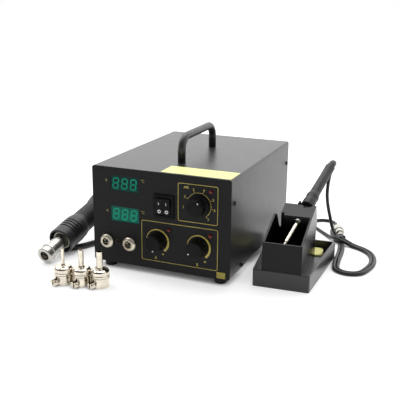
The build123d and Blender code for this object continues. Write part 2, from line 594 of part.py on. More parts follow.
with BuildPart() as standoffs:
    for x, y in [(sx * BOARD_HOLES[0] / 2, sy * BOARD_HOLES[1] / 2) for sx in (-1, 1) for sy in (-1, 1)]:
        post = Plane(at(BOARD_X + x, BOARD_Y + y, FLOOR))
        top = STANDOFF_H + BOARD_T
        revolve(half_profile(post, [(0, 0), (3.2, 0), (3.2, STANDOFF_H), (1.45, STANDOFF_H), (1.45, top),
                                    (2.8, top), (2.8, top + 1.8), (0, top + 1.8)]), axis=axis_of(post))
    for x, z in [(sx * 24.0, sz * 31.0) for sx in (-1, 1) for sz in (-1, 1)]:
        post = Plane(origin=at(-48.0 + x, PANEL_T, FOOT_H + 86.0 + z), x_dir=(1, 0, 0), z_dir=(0, 1, 0))
        reach = DISPLAY_BOARD_Y - PANEL_T
        top = reach + BOARD_T
        revolve(half_profile(post, [(0, 0), (2.6, 0), (2.6, reach), (1.45, reach), (1.45, top), (2.6, top),
                                    (2.6, top + 1.6), (0, top + 1.6)]), axis=axis_of(post))
finish("standoffs", standoffs)

with BuildPart() as board_parts:
    board_top = BOARD_Z + BOARD_T
    for x, y, radius, height in ((-60, 50, 6.5, 22), (-44, 50, 6.5, 22), (-62, 72, 5.0, 16),
                                 (8, 80, 4.0, 12)):
        with Locations(at(x, y, board_top)):
            Cylinder(radius, height, align=(Align.CENTER, Align.CENTER, Align.MIN))
    for x, y, width, depth, height in ((-26, 60, 18, 16, 16), (-8, 44, 24, 9, 4), (48, 82, 22, 9, 11),
                                       (-48, 86, 30, 8, 10), (20, 60, 10, 8, 5)):
        with Locations(at(x, y, board_top)):
            Box(width, depth, height, align=(Align.CENTER, Align.CENTER, Align.MIN))
finish("board_parts", board_parts)

SINK_X, SINK_Y, SINK_W, SINK_H, FINS = 46.0, 52.0, 30.0, 34.0, 7
with BuildPart() as heat_sink:
    with Locations(at(SINK_X, SINK_Y, BOARD_Z + BOARD_T)):
        Box(SINK_W, 3.0, SINK_H, align=(Align.CENTER, Align.CENTER, Align.MIN))
    with Locations(at(SINK_X, SINK_Y + 1.5, BOARD_Z + BOARD_T)):
        with GridLocations((SINK_W - 1.4) / (FINS - 1), 0, FINS, 1):
            Box(1.4, 14.0, SINK_H, align=(Align.CENTER, Align.MIN, Align.MIN))
finish("heat_sink", heat_sink)

# ---- Hot-air gun --------------------------------------------------------
BARREL_START, BARREL_END = MUZZLE_LEN - 3.0, SHROUD_END - 4.0
with BuildPart() as gun_barrel:
    inner = BARREL_R - BARREL_WALL
    revolve(half_profile(GUN, [(inner, BARREL_START), (BARREL_R, BARREL_START), (BARREL_R, BARREL_END),
                               (inner, BARREL_END)]), axis=axis_of(GUN))
finish("gun_barrel", gun_barrel)

MOUTH_R = 6.2
with BuildPart() as muzzle_ring:
    revolve(half_profile(GUN, [
        (MOUTH_R, 0.6), (MOUTH_R + 0.6, 0), (MUZZLE_R - 0.8, 0), (MUZZLE_R, 0.8), (MUZZLE_R, MUZZLE_LEN),
        (BEAD_R, MUZZLE_LEN + 0.6), (BEAD_R, MUZZLE_LEN + 1.6), (MUZZLE_R - 0.2, MUZZLE_LEN + 2.4),
        (BARREL_R + 0.02, MUZZLE_LEN + 3.0), (BARREL_R + 0.02, BARREL_START), (MOUTH_R, BARREL_START)]),
        axis=axis_of(GUN))
finish("muzzle_ring", muzzle_ring)

CORE_R, CORE_HOLE_R = 7.4, 1.3
CORE_START, CORE_LEN, SPIDER_T = 12.0, 56.0, 2.0
with BuildPart() as heater_core:
    with BuildSketch(GUN.offset(CORE_START)):
        Circle(CORE_R)
        with PolarLocations(4.8, 6):
            Circle(CORE_HOLE_R, mode=Mode.SUBTRACT)
    extrude(amount=CORE_LEN)
    for start in (CORE_START + 1.0, CORE_START + CORE_LEN - SPIDER_T - 1.0):
        with BuildSketch(GUN.offset(start)):
            Circle(BARREL_R - BARREL_WALL - 0.02)
            Circle(CORE_R - 0.5, mode=Mode.SUBTRACT)
        extrude(amount=SPIDER_T)
finish("heater_core", heater_core)

SHROUD_WALL = 2.2
SLOTS, SLOT_START, SLOT_PITCH, SLOT_W, SLOT_SPAN = 4, 14.0, 5.2, 1.9, 76.0
with BuildPart() as gun_shroud:
    inner = SHROUD_R - SHROUD_WALL
    collar = BARREL_R + 0.02
    revolve(half_profile(GUN, [
        (inner, SHROUD_START), (SHROUD_R - 0.7, SHROUD_START), (SHROUD_R, SHROUD_START + 1.2),
        (SHROUD_R + 0.2, SHROUD_END - 14), (SHROUD_R - 0.4, SHROUD_END - 4), (GRIP_R + 0.9, SHROUD_END),
        (collar, SHROUD_END), (collar, SHROUD_END - 8), (inner - 1.0, SHROUD_END - 8),
        (inner, SHROUD_END - 11)]), axis=axis_of(GUN))
    for slot in range(SLOTS):
        with BuildSketch(GUN.offset(SHROUD_START + SLOT_START + slot * SLOT_PITCH)):
            Circle(SHROUD_R + 1.5)
            Circle(inner - 1.0, mode=Mode.SUBTRACT)
            with Locations((0, 0)):
                for middle in (30, 210):
                    Rectangle(3 * SHROUD_R, 2 * SHROUD_R * cos(radians(SLOT_SPAN / 2)) - 6,
                              rotation=middle, mode=Mode.SUBTRACT)
        extrude(amount=SLOT_W, mode=Mode.SUBTRACT)
finish("gun_shroud", gun_shroud)

SOCKET_WALL_R = 10.0                  # wiring space inside the grip
with BuildPart() as gun_grip:
    revolve(half_profile(GUN, [
        (HOSE_R + 0.1, SHROUD_END), (GRIP_R + 0.6, SHROUD_END), (GRIP_R, SHROUD_END + 8), (GRIP_R - 0.6, 127),
        (GRIP_R - 0.2, 157), (GRIP_R + 0.4, 183), (GRIP_R - 0.4, GRIP_END - 3), (GRIP_R - 2.4, GRIP_END),
        (HOSE_R + 0.1, GRIP_END), (HOSE_R + 0.1, GRIP_END - 6), (SOCKET_WALL_R, GRIP_END - 6),
        (SOCKET_WALL_R, SHROUD_END + 4), (HOSE_R + 0.1, SHROUD_END + 4)]), axis=axis_of(GUN))
finish("gun_grip", gun_grip)

with BuildPart() as hose_boot:
    revolve(half_profile(GUN, [
        (HOSE_R + 0.1, GRIP_END), (10.0, GRIP_END), (9.6, GRIP_END + 3), (7.4, GRIP_END + 5),
        (6.6, BOOT_END - 3), (5.6, BOOT_END), (HOSE_R + 0.1, BOOT_END)]), axis=axis_of(GUN))
finish("hose_boot", hose_boot)

# The hose leaves the rear gland, runs along the case's left side, passes under
# the gun's shroud, turns back beside the gun and rises into its boot.
FLOOR_LINE = HOSE_R + 0.2
gun_end = GUN.from_local_coords(Vector(0, 0, BOOT_END))
gun_out = GUN.from_local_coords(Vector(0, 0, BOOT_END + 26))
HOSE_ROUTE = [at(GLAND[0], CASE_D + GLAND_OUT, GLAND_Z)] + [at(*p) for p in (
    (-62, 283, GLAND_Z), (-70, 308, 9), (-90, 325.5, FLOOR_LINE), (-117, 322.5, FLOOR_LINE),
    (-132, 297, FLOOR_LINE), (-129, 256, FLOOR_LINE), (-120, 212, FLOOR_LINE),
    (-113, 166, FLOOR_LINE), (-112, 124, FLOOR_LINE),
    (-121, 88, FLOOR_LINE), (-133, 60, FLOOR_LINE), (-145, 35.5, FLOOR_LINE), (-172, 30.5, FLOOR_LINE),
    (-193, 47.5, FLOOR_LINE), (-196, 78, FLOOR_LINE), (-204, 111, FLOOR_LINE), (-208.5, 145, FLOOR_LINE),
    (-216, 178, 9), (-219, 206, 21), (-209, 232, 37), (-186, 247, 54), (-159, 242, 68))] + [
    tuple(gun_out), tuple(gun_end)]
with BuildPart() as air_hose:
    with BuildLine() as hose_line:
        FilletPolyline(*HOSE_ROUTE, radius=corner_radii(HOSE_ROUTE, 6 * HOSE_R))
    with BuildSketch(Plane(origin=HOSE_ROUTE[0], z_dir=hose_line.wire() % 0)):
        Circle(HOSE_R)
    sweep(path=hose_line.wire())
finish("air_hose", air_hose)

# ---- Loose nozzles ------------------------------------------------------
NOZZLE_BORE_R = MUZZLE_R + NOZZLE_FIT
NOZZLE_R = NOZZLE_BORE_R + NOZZLE_WALL
EAR_REACH, EAR_T, EAR_GAP, EAR_Z0, EAR_Z1 = 6.4, 1.2, 2.6, 1.6, 8.6
CLAMP_SCREW_R = 1.25
BRAZE_GAP = 0.02
for name, (x, y, bore_r, clamp_turn) in NOZZLES.items():
    stand_up = Plane(at(x, y, 0)).rotated((0, 0, clamp_turn))
    tube_r = bore_r + NOZZLE_WALL
    with BuildPart() as nozzle:
        revolve(half_profile(stand_up, [
            (NOZZLE_BORE_R, 0), (NOZZLE_R, 0), (NOZZLE_R, SKIRT_H - 0.4), (NOZZLE_R - 0.75, SKIRT_H),
            (NOZZLE_R - 0.75, SKIRT_H + 1.4), (NOZZLE_R + 0.3, SKIRT_H + 1.8), (NOZZLE_R + 0.3, SKIRT_H + 2.6),
            (NOZZLE_R, SKIRT_H + 3.4), (NOZZLE_R, CAP_H - 3.0), (NOZZLE_R - 0.8, CAP_H - 1.2),
            (NOZZLE_R - 2.6, CAP_H), (bore_r, CAP_H), (bore_r, CAP_H - NOZZLE_WALL),
            (NOZZLE_R - 3.0, CAP_H - NOZZLE_WALL),
            (NOZZLE_BORE_R - 1.0, CAP_H - 2.0), (NOZZLE_BORE_R - 0.6, CAP_H - 3.4),
            (NOZZLE_BORE_R - 0.6, SKIRT_H - 1.0), (NOZZLE_BORE_R, SKIRT_H - 1.6)]), axis=axis_of(stand_up))
        tube_foot = CAP_H + BRAZE_GAP                 # the tube is brazed onto the cap, as a solid of its own
        revolve(half_profile(stand_up, [
            (bore_r, tube_foot), (tube_r + 1.2, tube_foot), (tube_r, tube_foot + 1.4), (tube_r, NOZZLE_H),
            (bore_r, NOZZLE_H)]), axis=axis_of(stand_up))
        with BuildSketch(stand_up.offset(-1)):
            with Locations((NOZZLE_R, 0)):
                Rectangle(6.0, EAR_GAP)
        extrude(amount=SKIRT_H, mode=Mode.SUBTRACT)
        with BuildSketch(stand_up.offset(EAR_Z0)):
            for side in (-1, 1):
                with Locations((NOZZLE_R + (EAR_REACH - 0.3) / 2, side * (EAR_GAP + EAR_T) / 2)):
                    Rectangle(EAR_REACH + 0.3, EAR_T)
        extrude(amount=EAR_Z1 - EAR_Z0)
        screw_mid = stand_up.from_local_coords(Vector(NOZZLE_R + 3.4, 0, (EAR_Z0 + EAR_Z1) / 2))
        screw = Plane(origin=screw_mid, x_dir=(0, 0, 1), z_dir=stand_up.y_dir)
        ear_face = EAR_GAP / 2 + EAR_T
        with BuildSketch(screw.offset(-6)):
            Circle(CLAMP_SCREW_R + 0.05)
        extrude(amount=12, mode=Mode.SUBTRACT)
        revolve(half_profile(screw, [
            (0, -6.8), (CLAMP_SCREW_R, -6.8), (CLAMP_SCREW_R, -ear_face - 2.2), (2.5, -ear_face - 2.2),
            (2.5, -ear_face), (CLAMP_SCREW_R, -ear_face), (CLAMP_SCREW_R, ear_face), (2.6, ear_face),
            (2.6, ear_face + 1.6), (1.8, ear_face + 2.4), (0, ear_face + 2.4)]), axis=axis_of(screw))
    finish(name, nozzle)

# ---- Iron stand ---------------------------------------------------------
with BuildPart() as stand_base:
    wall = 3.0
    with BuildSketch(STAND) as plan:
        with BuildLine():
            Polyline((0, 0), (STAND_W, 0), (STAND_W + STAND_SPLAY, STAND_D), (-STAND_SPLAY, STAND_D),
                     close=True)
        make_face()
        fillet(plan.vertices(), radius=3.0)
    extrude(amount=STAND_H)
    fillet(stand_base.faces().sort_by(Axis.Z)[-1].edges(), radius=1.0)
    rim_lean = STAND_SPLAY / STAND_D
    near, far = BASE_RIM, STAND_D - BASE_RIM
    with BuildSketch(STAND.offset(STAND_H)) as recess:
        with BuildLine():
            Polyline((BASE_RIM - near * rim_lean, near), (STAND_W - BASE_RIM + near * rim_lean, near),
                     (STAND_W - BASE_RIM + far * rim_lean, far), (BASE_RIM - far * rim_lean, far), close=True)
        make_face()
        fillet(recess.vertices(), radius=2.0)
    extrude(amount=-(STAND_H - BASE_FLOOR), mode=Mode.SUBTRACT)
    with BuildSketch(STAND.offset(BASE_FLOOR)):
        with Locations((STAND_W / 2, (TRAY_Y0 + TRAY_Y1) / 2)):
            RectangleRounded(STAND_W + 0.4, TRAY_Y1 - TRAY_Y0, 3.0)
    extrude(amount=-(BASE_FLOOR - TRAY_FLOOR), mode=Mode.SUBTRACT)
    with BuildSketch(STAND):
        with Locations((STAND_W / 2, 48.0)):
            Rectangle(STAND_W - 2 * wall - 4, 84.0)
    extrude(amount=BASE_FLOOR - wall, mode=Mode.SUBTRACT)
finish("stand_base", stand_base)

CUP_START, CUP_END = -3.6, 2.5
CUP_BORE_R, CUP_R, DRAW_R = 4.8, 6.2, 4.9
SEAT_START, SEAT_T, SEAT_CLEARANCE = 28.6, 2.4, 0.6


def stand_side(x):
    """Plane across the stand, x from its left: its own axes run back and up."""
    return Plane(origin=STAND.from_local_coords(Vector(x, 0, 0)), x_dir=STAND.y_dir, z_dir=STAND.x_dir)


def deck_outline(wall):
    """Side view of the deck behind the rest plate, set in by a wall."""
    (edge_y, edge_z), (lip_y, lip_z) = DECK_EDGE, DECK_LIP
    return [(HOLDER_PLATE_Y - 2 + wall * 0.8, BASE_FLOOR), (HOLDER_Y1 - wall, BASE_FLOOR),
            (HOLDER_Y1 - wall, DECK_LIP_FOOT + wall * 0.3), (lip_y - wall * 1.3, lip_z + wall * 0.3),
            (edge_y - wall * 0.8, edge_z - wall * 1.3), (HOLDER_PLATE_Y - 2 + wall * 0.8, HOLDER_H - wall)]


with BuildPart() as stand_holder:
    middle_x = (HOLDER_X0 + HOLDER_X1) / 2
    clear_w = HOLDER_X1 - HOLDER_X0 - 2 * HOLDER_WALL
    step_y = BASE_RIM + 0.1
    with BuildSketch(stand_side(HOLDER_X0)):
        with BuildLine():
            Polyline((HOLDER_Y0, STAND_H), (step_y, STAND_H), (step_y, BASE_FLOOR), (HOLDER_PLATE_Y, BASE_FLOOR),
                     (HOLDER_PLATE_Y, HOLDER_H), (HOLDER_PLATE_Y - 2, HOLDER_H),
                     (HOLDER_Y0 + 1, HOLDER_FRONT_H), close=True)
        make_face()
    extrude(amount=HOLDER_X1 - HOLDER_X0)
    with BuildSketch(STAND.offset(HOLDER_H)):
        with Locations((middle_x, (HOLDER_Y0 + HOLDER_PLATE_Y) / 2)):
            Rectangle(clear_w, HOLDER_PLATE_Y - HOLDER_Y0 - 2 * HOLDER_WALL)
    extrude(amount=-(HOLDER_H - BASE_FLOOR), mode=Mode.SUBTRACT)
    with BuildSketch(stand_side(DECK_X0)):
        with BuildLine():
            Polyline(*deck_outline(0), close=True)
        make_face()
    extrude(amount=HOLDER_X1 - DECK_X0)
    with BuildSketch(stand_side(DECK_X0 + HOLDER_WALL)):
        with BuildLine():
            Polyline(*deck_outline(HOLDER_WALL), close=True)
        make_face()
    extrude(amount=HOLDER_X1 - DECK_X0 - 2 * HOLDER_WALL, mode=Mode.SUBTRACT)
    notch = Plane(origin=STAND.from_local_coords(Vector(0, HOLDER_PLATE_Y - 4, 0)), x_dir=STAND.x_dir,
                  z_dir=-STAND.y_dir)
    with BuildSketch(notch):
        with BuildLine():
            Polyline((HOLDER_X0 + 3, HOLDER_H + 4), (HOLDER_X0 + 7.5, HOLDER_H - 16),
                     (HOLDER_X0 + 11, HOLDER_H - 16), (HOLDER_X0 + 13.5, HOLDER_H + 4), close=True)
        make_face()
    extrude(amount=-7.0, mode=Mode.SUBTRACT)
    revolve(half_profile(IRON, [
        (0, CUP_START - 4), (CUP_R + 0.05, CUP_START - 4), (CUP_R + 0.05, CUP_END), (DRAW_R, CUP_END),
        (DRAW_R, SEAT_START), (IRON_GRIP_R + SEAT_CLEARANCE, SEAT_START),
        (IRON_GRIP_R + SEAT_CLEARANCE, 60), (0, 60)]), axis=axis_of(IRON), mode=Mode.SUBTRACT)
finish("stand_holder", stand_holder)

with BuildPart() as iron_cup:
    revolve(half_profile(IRON, [
        (CUP_BORE_R, CUP_START), (CUP_R - 0.6, CUP_START), (CUP_R, CUP_START + 0.6), (CUP_R, CUP_END),
        (CUP_BORE_R, CUP_END)]), axis=axis_of(IRON))
finish("iron_cup", iron_cup)

SEAT_R = IRON_GRIP_R + SEAT_CLEARANCE - 0.1
with BuildPart() as iron_yoke:
    with BuildSketch(IRON.offset(SEAT_START + 0.02)):
        Circle(SEAT_R)
        Circle(DRAW_R + 0.1, mode=Mode.SUBTRACT)
        with Locations((0, -SEAT_R)):
            Rectangle(3 * SEAT_R, 2 * SEAT_R, mode=Mode.SUBTRACT)
    extrude(amount=SEAT_T - 0.02)
    with BuildSketch(IRON.offset(SEAT_START + 0.6)):
        with Locations((-SEAT_R - 0.8, -2.0)):
            RectangleRounded(2.6, 8.0, 1.0)
    extrude(amount=5.0)
finish("iron_yoke", iron_yoke)

with BuildPart() as sponge:
    with BuildSketch(STAND.offset(TRAY_FLOOR + 0.05)):
        with Locations((STAND_W / 2, (TRAY_Y0 + TRAY_Y1) / 2)):
            RectangleRounded(STAND_W - 6.0, TRAY_Y1 - TRAY_Y0 - 3.0, 3.0)
            with Locations((8, 0)):
                Circle(5.0, mode=Mode.SUBTRACT)
    extrude(amount=SPONGE_T)
finish("sponge", sponge)

# ---- Soldering iron -----------------------------------------------------
TIP_R = 2.2
with BuildPart() as iron_tip:
    revolve(half_profile(IRON, [(0, IRON_TIP), (0.5, IRON_TIP + 0.4), (TIP_R, BARREL_TIP), (TIP_R, -12),
                                (0, -12)]), axis=axis_of(IRON))
finish("iron_tip", iron_tip)

NUT_R, NUT_START, NUT_END = 4.3, -3.5, 11.0
with BuildPart() as iron_barrel:
    revolve(half_profile(IRON, [
        (TIP_R + 0.05, BARREL_TIP - 0.6), (IRON_BARREL_R - 0.3, BARREL_TIP - 0.6),
        (IRON_BARREL_R, BARREL_TIP),
        (IRON_BARREL_R, NUT_START), (NUT_R - 0.5, NUT_START), (NUT_R, NUT_START + 0.5), (NUT_R, NUT_END),
        (TIP_R + 0.05, NUT_END)]), axis=axis_of(IRON))
finish("iron_barrel", iron_barrel)

GRIP_START = SEAT_START + SEAT_T + IRON_SEAT_GAP
with BuildPart() as iron_handle:
    revolve(half_profile(IRON, [
        (0, NUT_END), (IRON_NECK_R, NUT_END), (IRON_NECK_R, GRIP_START), (IRON_GRIP_R - 0.8, GRIP_START),
        (IRON_GRIP_R, GRIP_START + 0.8), (IRON_GRIP_R, 40), (IRON_GRIP_R - 0.5, 46), (IRON_GRIP_R, 52),
        (IRON_HANDLE_R + 0.3, 60), (IRON_HANDLE_R, 90), (IRON_HANDLE_R + 0.1, IRON_HANDLE_END - 1),
        (IRON_HANDLE_R - 0.8, IRON_HANDLE_END), (0, IRON_HANDLE_END)]), axis=axis_of(IRON))
finish("iron_handle", iron_handle)

# The boot runs straight out of the handle, then bends down with the lead.
BOOT_R, BOOT_STRAIGHT, BOOT_BEND = 4.6, 4.0, 55.0
bend_start = IRON.offset(IRON_HANDLE_END + BOOT_STRAIGHT)
lean = IRON.x_dir * cos(radians(LEAD_LEAN)) + IRON.y_dir * sin(radians(LEAD_LEAN))
bend_axis = Axis(bend_start.origin + lean * LEAD_BEND, lean.cross(IRON.z_dir) * -1)
with BuildPart() as iron_boot:
    with BuildSketch(IRON.offset(IRON_HANDLE_END)):
        Circle(BOOT_R + 0.6)
    extrude(amount=BOOT_STRAIGHT)
    with BuildSketch(bend_start):
        Circle(BOOT_R)
    revolve(axis=bend_axis, revolution_arc=BOOT_BEND)
finish("iron_boot", iron_boot)

# The lead drops behind the stand into a hank: two turns out to the right, one
# to the left, tied in the middle, with the plug lying behind.
LEAD_FLOOR = CORD_R + 0.1
bent_cos, bent_sin = cos(radians(BOOT_BEND)), sin(radians(BOOT_BEND))
lead_start = bend_start.origin + lean * LEAD_BEND * (1 - bent_cos) + IRON.z_dir * LEAD_BEND * bent_sin
lead_dir = IRON.z_dir * bent_cos + lean * bent_sin
LEAD_ROUTE = [tuple(lead_start), tuple(lead_start + lead_dir * 12)] + [at(*p) for p in (
    (162.2, 222.5, 100), (158.9, 226.3, 82), (157.8, 230.3, 62), (160.3, 234.3, 43), (164.0, 235.4, 28),
    (168.2, 230.5, 16.5), (177.3, 219.0, 8.2))]
with BuildPart() as iron_cord:
    with BuildLine() as lead_line:
        FilletPolyline(*LEAD_ROUTE, radius=corner_radii(LEAD_ROUTE, 6 * CORD_R))
    with BuildSketch(Plane(origin=LEAD_ROUTE[0], z_dir=lead_line.wire() % 0)):
        Circle(CORD_R)
    sweep(path=lead_line.wire())
finish("iron_cord", iron_cord)

TIE_X, TIE_Y, TIE_W, TIE_D, TIE_H = 182.5, 218.5, 15.0, 14.0, 10.5
with BuildPart() as cord_tie:
    with Locations(at(TIE_X, TIE_Y, LEAD_FLOOR - CORD_R)):
        Box(TIE_W, TIE_D, TIE_H, align=(Align.CENTER, Align.CENTER, Align.MIN))
    fillet(cord_tie.edges().filter_by(Axis.Z), radius=4.0)
finish("cord_tie", cord_tie)

RIGHT_OUT = [(188.5, 214), (205, 203.5), (220, 195.5), (232, 183), (239, 165), (241.5, 144), (238.5, 124)]
RIGHT_BACK = [(238.5, 124), (232.5, 104), (216, 97.5), (200.8, 105.5), (197.3, 124.5), (195, 145), (194, 165),
              (190.5, 187), (187, 212.5)]
LEFT_LOOP = [(176.5, 213), (158, 237), (141, 257), (128.5, 273), (125.5, 290), (136, 303), (152.5, 303.8),
             (163.5, 291), (162.5, 272), (162.3, 251), (176.5, 223.5)]


def flat_run(points, width):
    """A level stretch of cord, one or more strands wide, lying on the bench."""
    route = [at(x, y, LEAD_FLOOR) for x, y in points]
    with BuildLine() as line:
        FilletPolyline(*route, radius=corner_radii(route, 6 * CORD_R))
    start = line.wire() % 0
    with BuildSketch(Plane(origin=route[0], x_dir=(-start.Y, start.X, 0), z_dir=start)) as section:
        if width > 1:
            SlotOverall(2 * CORD_R * width, 2 * CORD_R)
        else:
            Circle(CORD_R)
    return section.sketch, line.wire()


with BuildPart() as cord_loop_right:
    for points in (RIGHT_OUT, RIGHT_BACK):
        section, path = flat_run(points, 2)
        sweep(section, path=path)
finish("cord_loop_right", cord_loop_right)

with BuildPart() as cord_loop_left:
    section, path = flat_run(LEFT_LOOP, 1)
    sweep(section, path=path)
finish("cord_loop_left", cord_loop_left)

PLUG_R, PLUG_LEN, PLUG_TURN = 7.4, 33.0, 18.6
with BuildPart() as cord_plug:
    plug = aimed(at(182.6, TIE_Y + TIE_D / 2 - 0.6, PLUG_R + 0.1), 0, -PLUG_TURN)
    revolve(half_profile(plug, [
        (0, 0), (4.0, 0), (4.4, 1.0), (4.4, 8.0), (6.0, 9.0), (6.2, 18.0), (PLUG_R, 19.0),
        (PLUG_R, PLUG_LEN - 0.8), (PLUG_R - 0.8, PLUG_LEN), (6.0, PLUG_LEN), (6.0, PLUG_LEN - 9.0),
        (0, PLUG_LEN - 9.0)]), axis=axis_of(plug))
finish("cord_plug", cord_plug)

for name, piece, line, radius in (("air_hose", air_hose, hose_line, HOSE_R),
                                  ("iron_cord", iron_cord, lead_line, CORD_R)):
    length = line.wire().length
    print(name, "length", round(length, 1), "volume over section times length",
          round(piece.part.volume / (pi * radius ** 2 * length), 4))
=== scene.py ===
# %% [markdown]
# # A hot air rework station, dressed for its portrait
#
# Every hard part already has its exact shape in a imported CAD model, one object
# per piece. This lesson adds what CAD leaves out: paint, plastic and metal,
# the printing on the panel, the hose and cord as smooth curves, the sponge, a
# floor, lamps and a camera.

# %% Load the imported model
import json

import bmesh
import bpy
import numpy as np
from mathutils import Matrix, Vector


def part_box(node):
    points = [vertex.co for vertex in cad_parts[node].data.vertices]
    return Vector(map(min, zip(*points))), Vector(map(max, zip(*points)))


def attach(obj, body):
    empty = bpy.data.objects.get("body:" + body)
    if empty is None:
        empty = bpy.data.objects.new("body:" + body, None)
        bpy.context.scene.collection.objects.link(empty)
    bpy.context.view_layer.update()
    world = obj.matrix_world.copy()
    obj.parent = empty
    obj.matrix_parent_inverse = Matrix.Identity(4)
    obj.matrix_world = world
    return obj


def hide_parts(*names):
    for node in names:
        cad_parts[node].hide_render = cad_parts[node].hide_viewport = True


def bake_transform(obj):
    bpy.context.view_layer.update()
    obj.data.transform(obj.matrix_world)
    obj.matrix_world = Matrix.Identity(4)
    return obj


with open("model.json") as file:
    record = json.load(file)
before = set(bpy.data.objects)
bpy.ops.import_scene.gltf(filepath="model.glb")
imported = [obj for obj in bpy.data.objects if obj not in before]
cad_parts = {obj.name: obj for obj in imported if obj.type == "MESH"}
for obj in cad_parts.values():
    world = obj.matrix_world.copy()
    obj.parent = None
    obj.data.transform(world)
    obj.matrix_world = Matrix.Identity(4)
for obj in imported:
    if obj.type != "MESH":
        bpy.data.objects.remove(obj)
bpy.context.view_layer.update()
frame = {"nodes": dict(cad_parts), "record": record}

# %% [markdown]
# ## Where things are
#
# All places are read from the model. The panel's printing, for example, is
# drawn in the panel's own measure: millimetres to the right of its middle and
# millimetres up from its lower edge. Two small functions turn such measures
# into metres in the room, so the numbers below can be checked with a ruler. A
# third one puts a finished mesh, curve, lamp or camera into the scene.

# %% Millimetres on the case and on its panel
MM = 0.001
panel_low, panel_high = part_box("front_panel")
case_origin = np.array([(panel_low.x + panel_high.x) / 2, panel_low.y, 0.0])
PANEL_FOOT = panel_low.z


def from_case(points):
    """Points in millimetres from the middle of the case's front edge on the bench, as metres in the room."""
    return case_origin + np.asarray(points, float) * MM


def on_panel(points):
    """Points (right, out, up) in millimetres on the panel: out is towards the user."""
    right, out, up = np.moveaxis(np.asarray(points, float), -1, 0)
    return case_origin + np.stack([right * MM, -out * MM, PANEL_FOOT + up * MM], axis=-1)


print("panel foot", round(PANEL_FOOT, 4), "case origin", case_origin.round(4))


# %% Putting things in the scene
def add_object(name, data):
    """A new object of that name at the origin, linked to the scene."""
    thing = bpy.data.objects.new(name, data)
    bpy.context.scene.collection.objects.link(thing)
    return thing


# %% [markdown]
# ## The camera
#
# A product portrait is taken from some way off with a lens of about 64 mm, so
# that the box keeps its proportions. The camera is turned to look across the
# front from the right, tilted down, and leans a trace, as a hand-set tripod
# does. Three turns, one after another, are easier to read than one matrix.

# %% Place the camera
CAMERA_PLACE = (0.3522, -0.8401, 0.3481)
CAMERA_TURN, CAMERA_TILT, CAMERA_LEAN = 0.3880, -0.2884, -0.0107     # radians
LENS_MM, SENSOR_MM = 63.99, 36.0

camera_data = bpy.data.cameras.new("portrait_camera")
camera_data.sensor_width = SENSOR_MM
camera_data.lens = LENS_MM
camera = add_object("portrait_camera", camera_data)
camera.matrix_world = (
    Matrix.Translation(CAMERA_PLACE)
    @ Matrix.Rotation(CAMERA_TURN, 4, "Z")
    @ Matrix.Rotation(CAMERA_TILT, 4, "X")
    @ Matrix.Rotation(CAMERA_LEAN, 4, "Y")
    @ Matrix.Rotation(np.pi / 2, 4, "X")
)
bpy.context.scene.camera = camera
print("camera looks from", [round(v, 3) for v in camera.matrix_world.translation])

# %% [markdown]
# ## Finishes: the common ground
#
# Every finish starts from Blender's Principled shader. Real surfaces are never
# quite even, so each one gets a soft variation of colour and roughness and a
# fine grain in its normal. All of it is read from Object coordinates, in
# metres, because the pieces sit where they were made. A Bevel node lets sharp
# edges catch a thin line of light, as folded sheet and moulded edges do.

# %% Helpers for finishes
NOISE_LOW, NOISE_HIGH = 0.3, 0.7                 # a noise seldom leaves this range


def start_finish(name, colour, roughness, metallic=0.0, specular=0.5, ior=1.5):
    """A new material, its node tree and its shader, with the even values set on the shader itself."""
    material = bpy.data.materials.new(name)
    material.use_nodes = True
    shader = material.node_tree.nodes["Principled BSDF"]
    shader.inputs["Base Color"].default_value = (*colour, 1.0)
    shader.inputs["Roughness"].default_value = roughness
    shader.inputs["Metallic"].default_value = metallic
    shader.inputs["Specular IOR Level"].default_value = specular
    shader.inputs["IOR"].default_value = ior
    return material, material.node_tree, shader


def noise(tree, scale, detail=4.0, stretch=(1, 1, 1)):
    """Noise of that many patches per metre. stretch multiplies its scale along each axis."""
    place = tree.nodes.new("ShaderNodeTexCoord")
    mapping = tree.nodes.new("ShaderNodeMapping")
    mapping.inputs["Scale"].default_value = stretch
    texture = tree.nodes.new("ShaderNodeTexNoise")
    texture.inputs["Scale"].default_value = scale
    texture.inputs["Detail"].default_value = detail
    tree.links.new(place.outputs["Object"], mapping.inputs["Vector"])
    tree.links.new(mapping.outputs["Vector"], texture.inputs["Vector"])
    return texture.outputs["Fac"]


def place_along(tree, axis, coordinates="Object"):
    """How far a point lies along X, Y or Z."""
    place = tree.nodes.new("ShaderNodeTexCoord")
    split = tree.nodes.new("ShaderNodeSeparateXYZ")
    tree.links.new(place.outputs[coordinates], split.inputs["Vector"])
    return split.outputs[axis]


def spread(tree, value, low, high, to_low=0.0, to_high=1.0):
    """value moved in proportion: low becomes to_low, high becomes to_high, and it stops at both."""
    mover = tree.nodes.new("ShaderNodeMapRange")
    for socket, number in zip(("From Min", "From Max", "To Min", "To Max"), (low, high, to_low, to_high)):
        mover.inputs[socket].default_value = number
    tree.links.new(value, mover.inputs["Value"])
    return mover.outputs["Result"]


def vary_colour(tree, shader, factor, dark, light, low=0.35, high=0.65):
    """Base colour that runs from dark to light as factor goes from low to high."""
    ramp = tree.nodes.new("ShaderNodeValToRGB")
    ramp.color_ramp.elements[0].position = low
    ramp.color_ramp.elements[1].position = high
    ramp.color_ramp.elements[0].color = (*dark, 1.0)
    ramp.color_ramp.elements[1].color = (*light, 1.0)
    tree.links.new(factor, ramp.inputs["Fac"])
    tree.links.new(ramp.outputs["Color"], shader.inputs["Base Color"])


def vary_roughness(tree, shader, factor, low, high):
    """Roughness that wanders between low and high with a noise."""
    tree.links.new(spread(tree, factor, NOISE_LOW, NOISE_HIGH, low, high), shader.inputs["Roughness"])


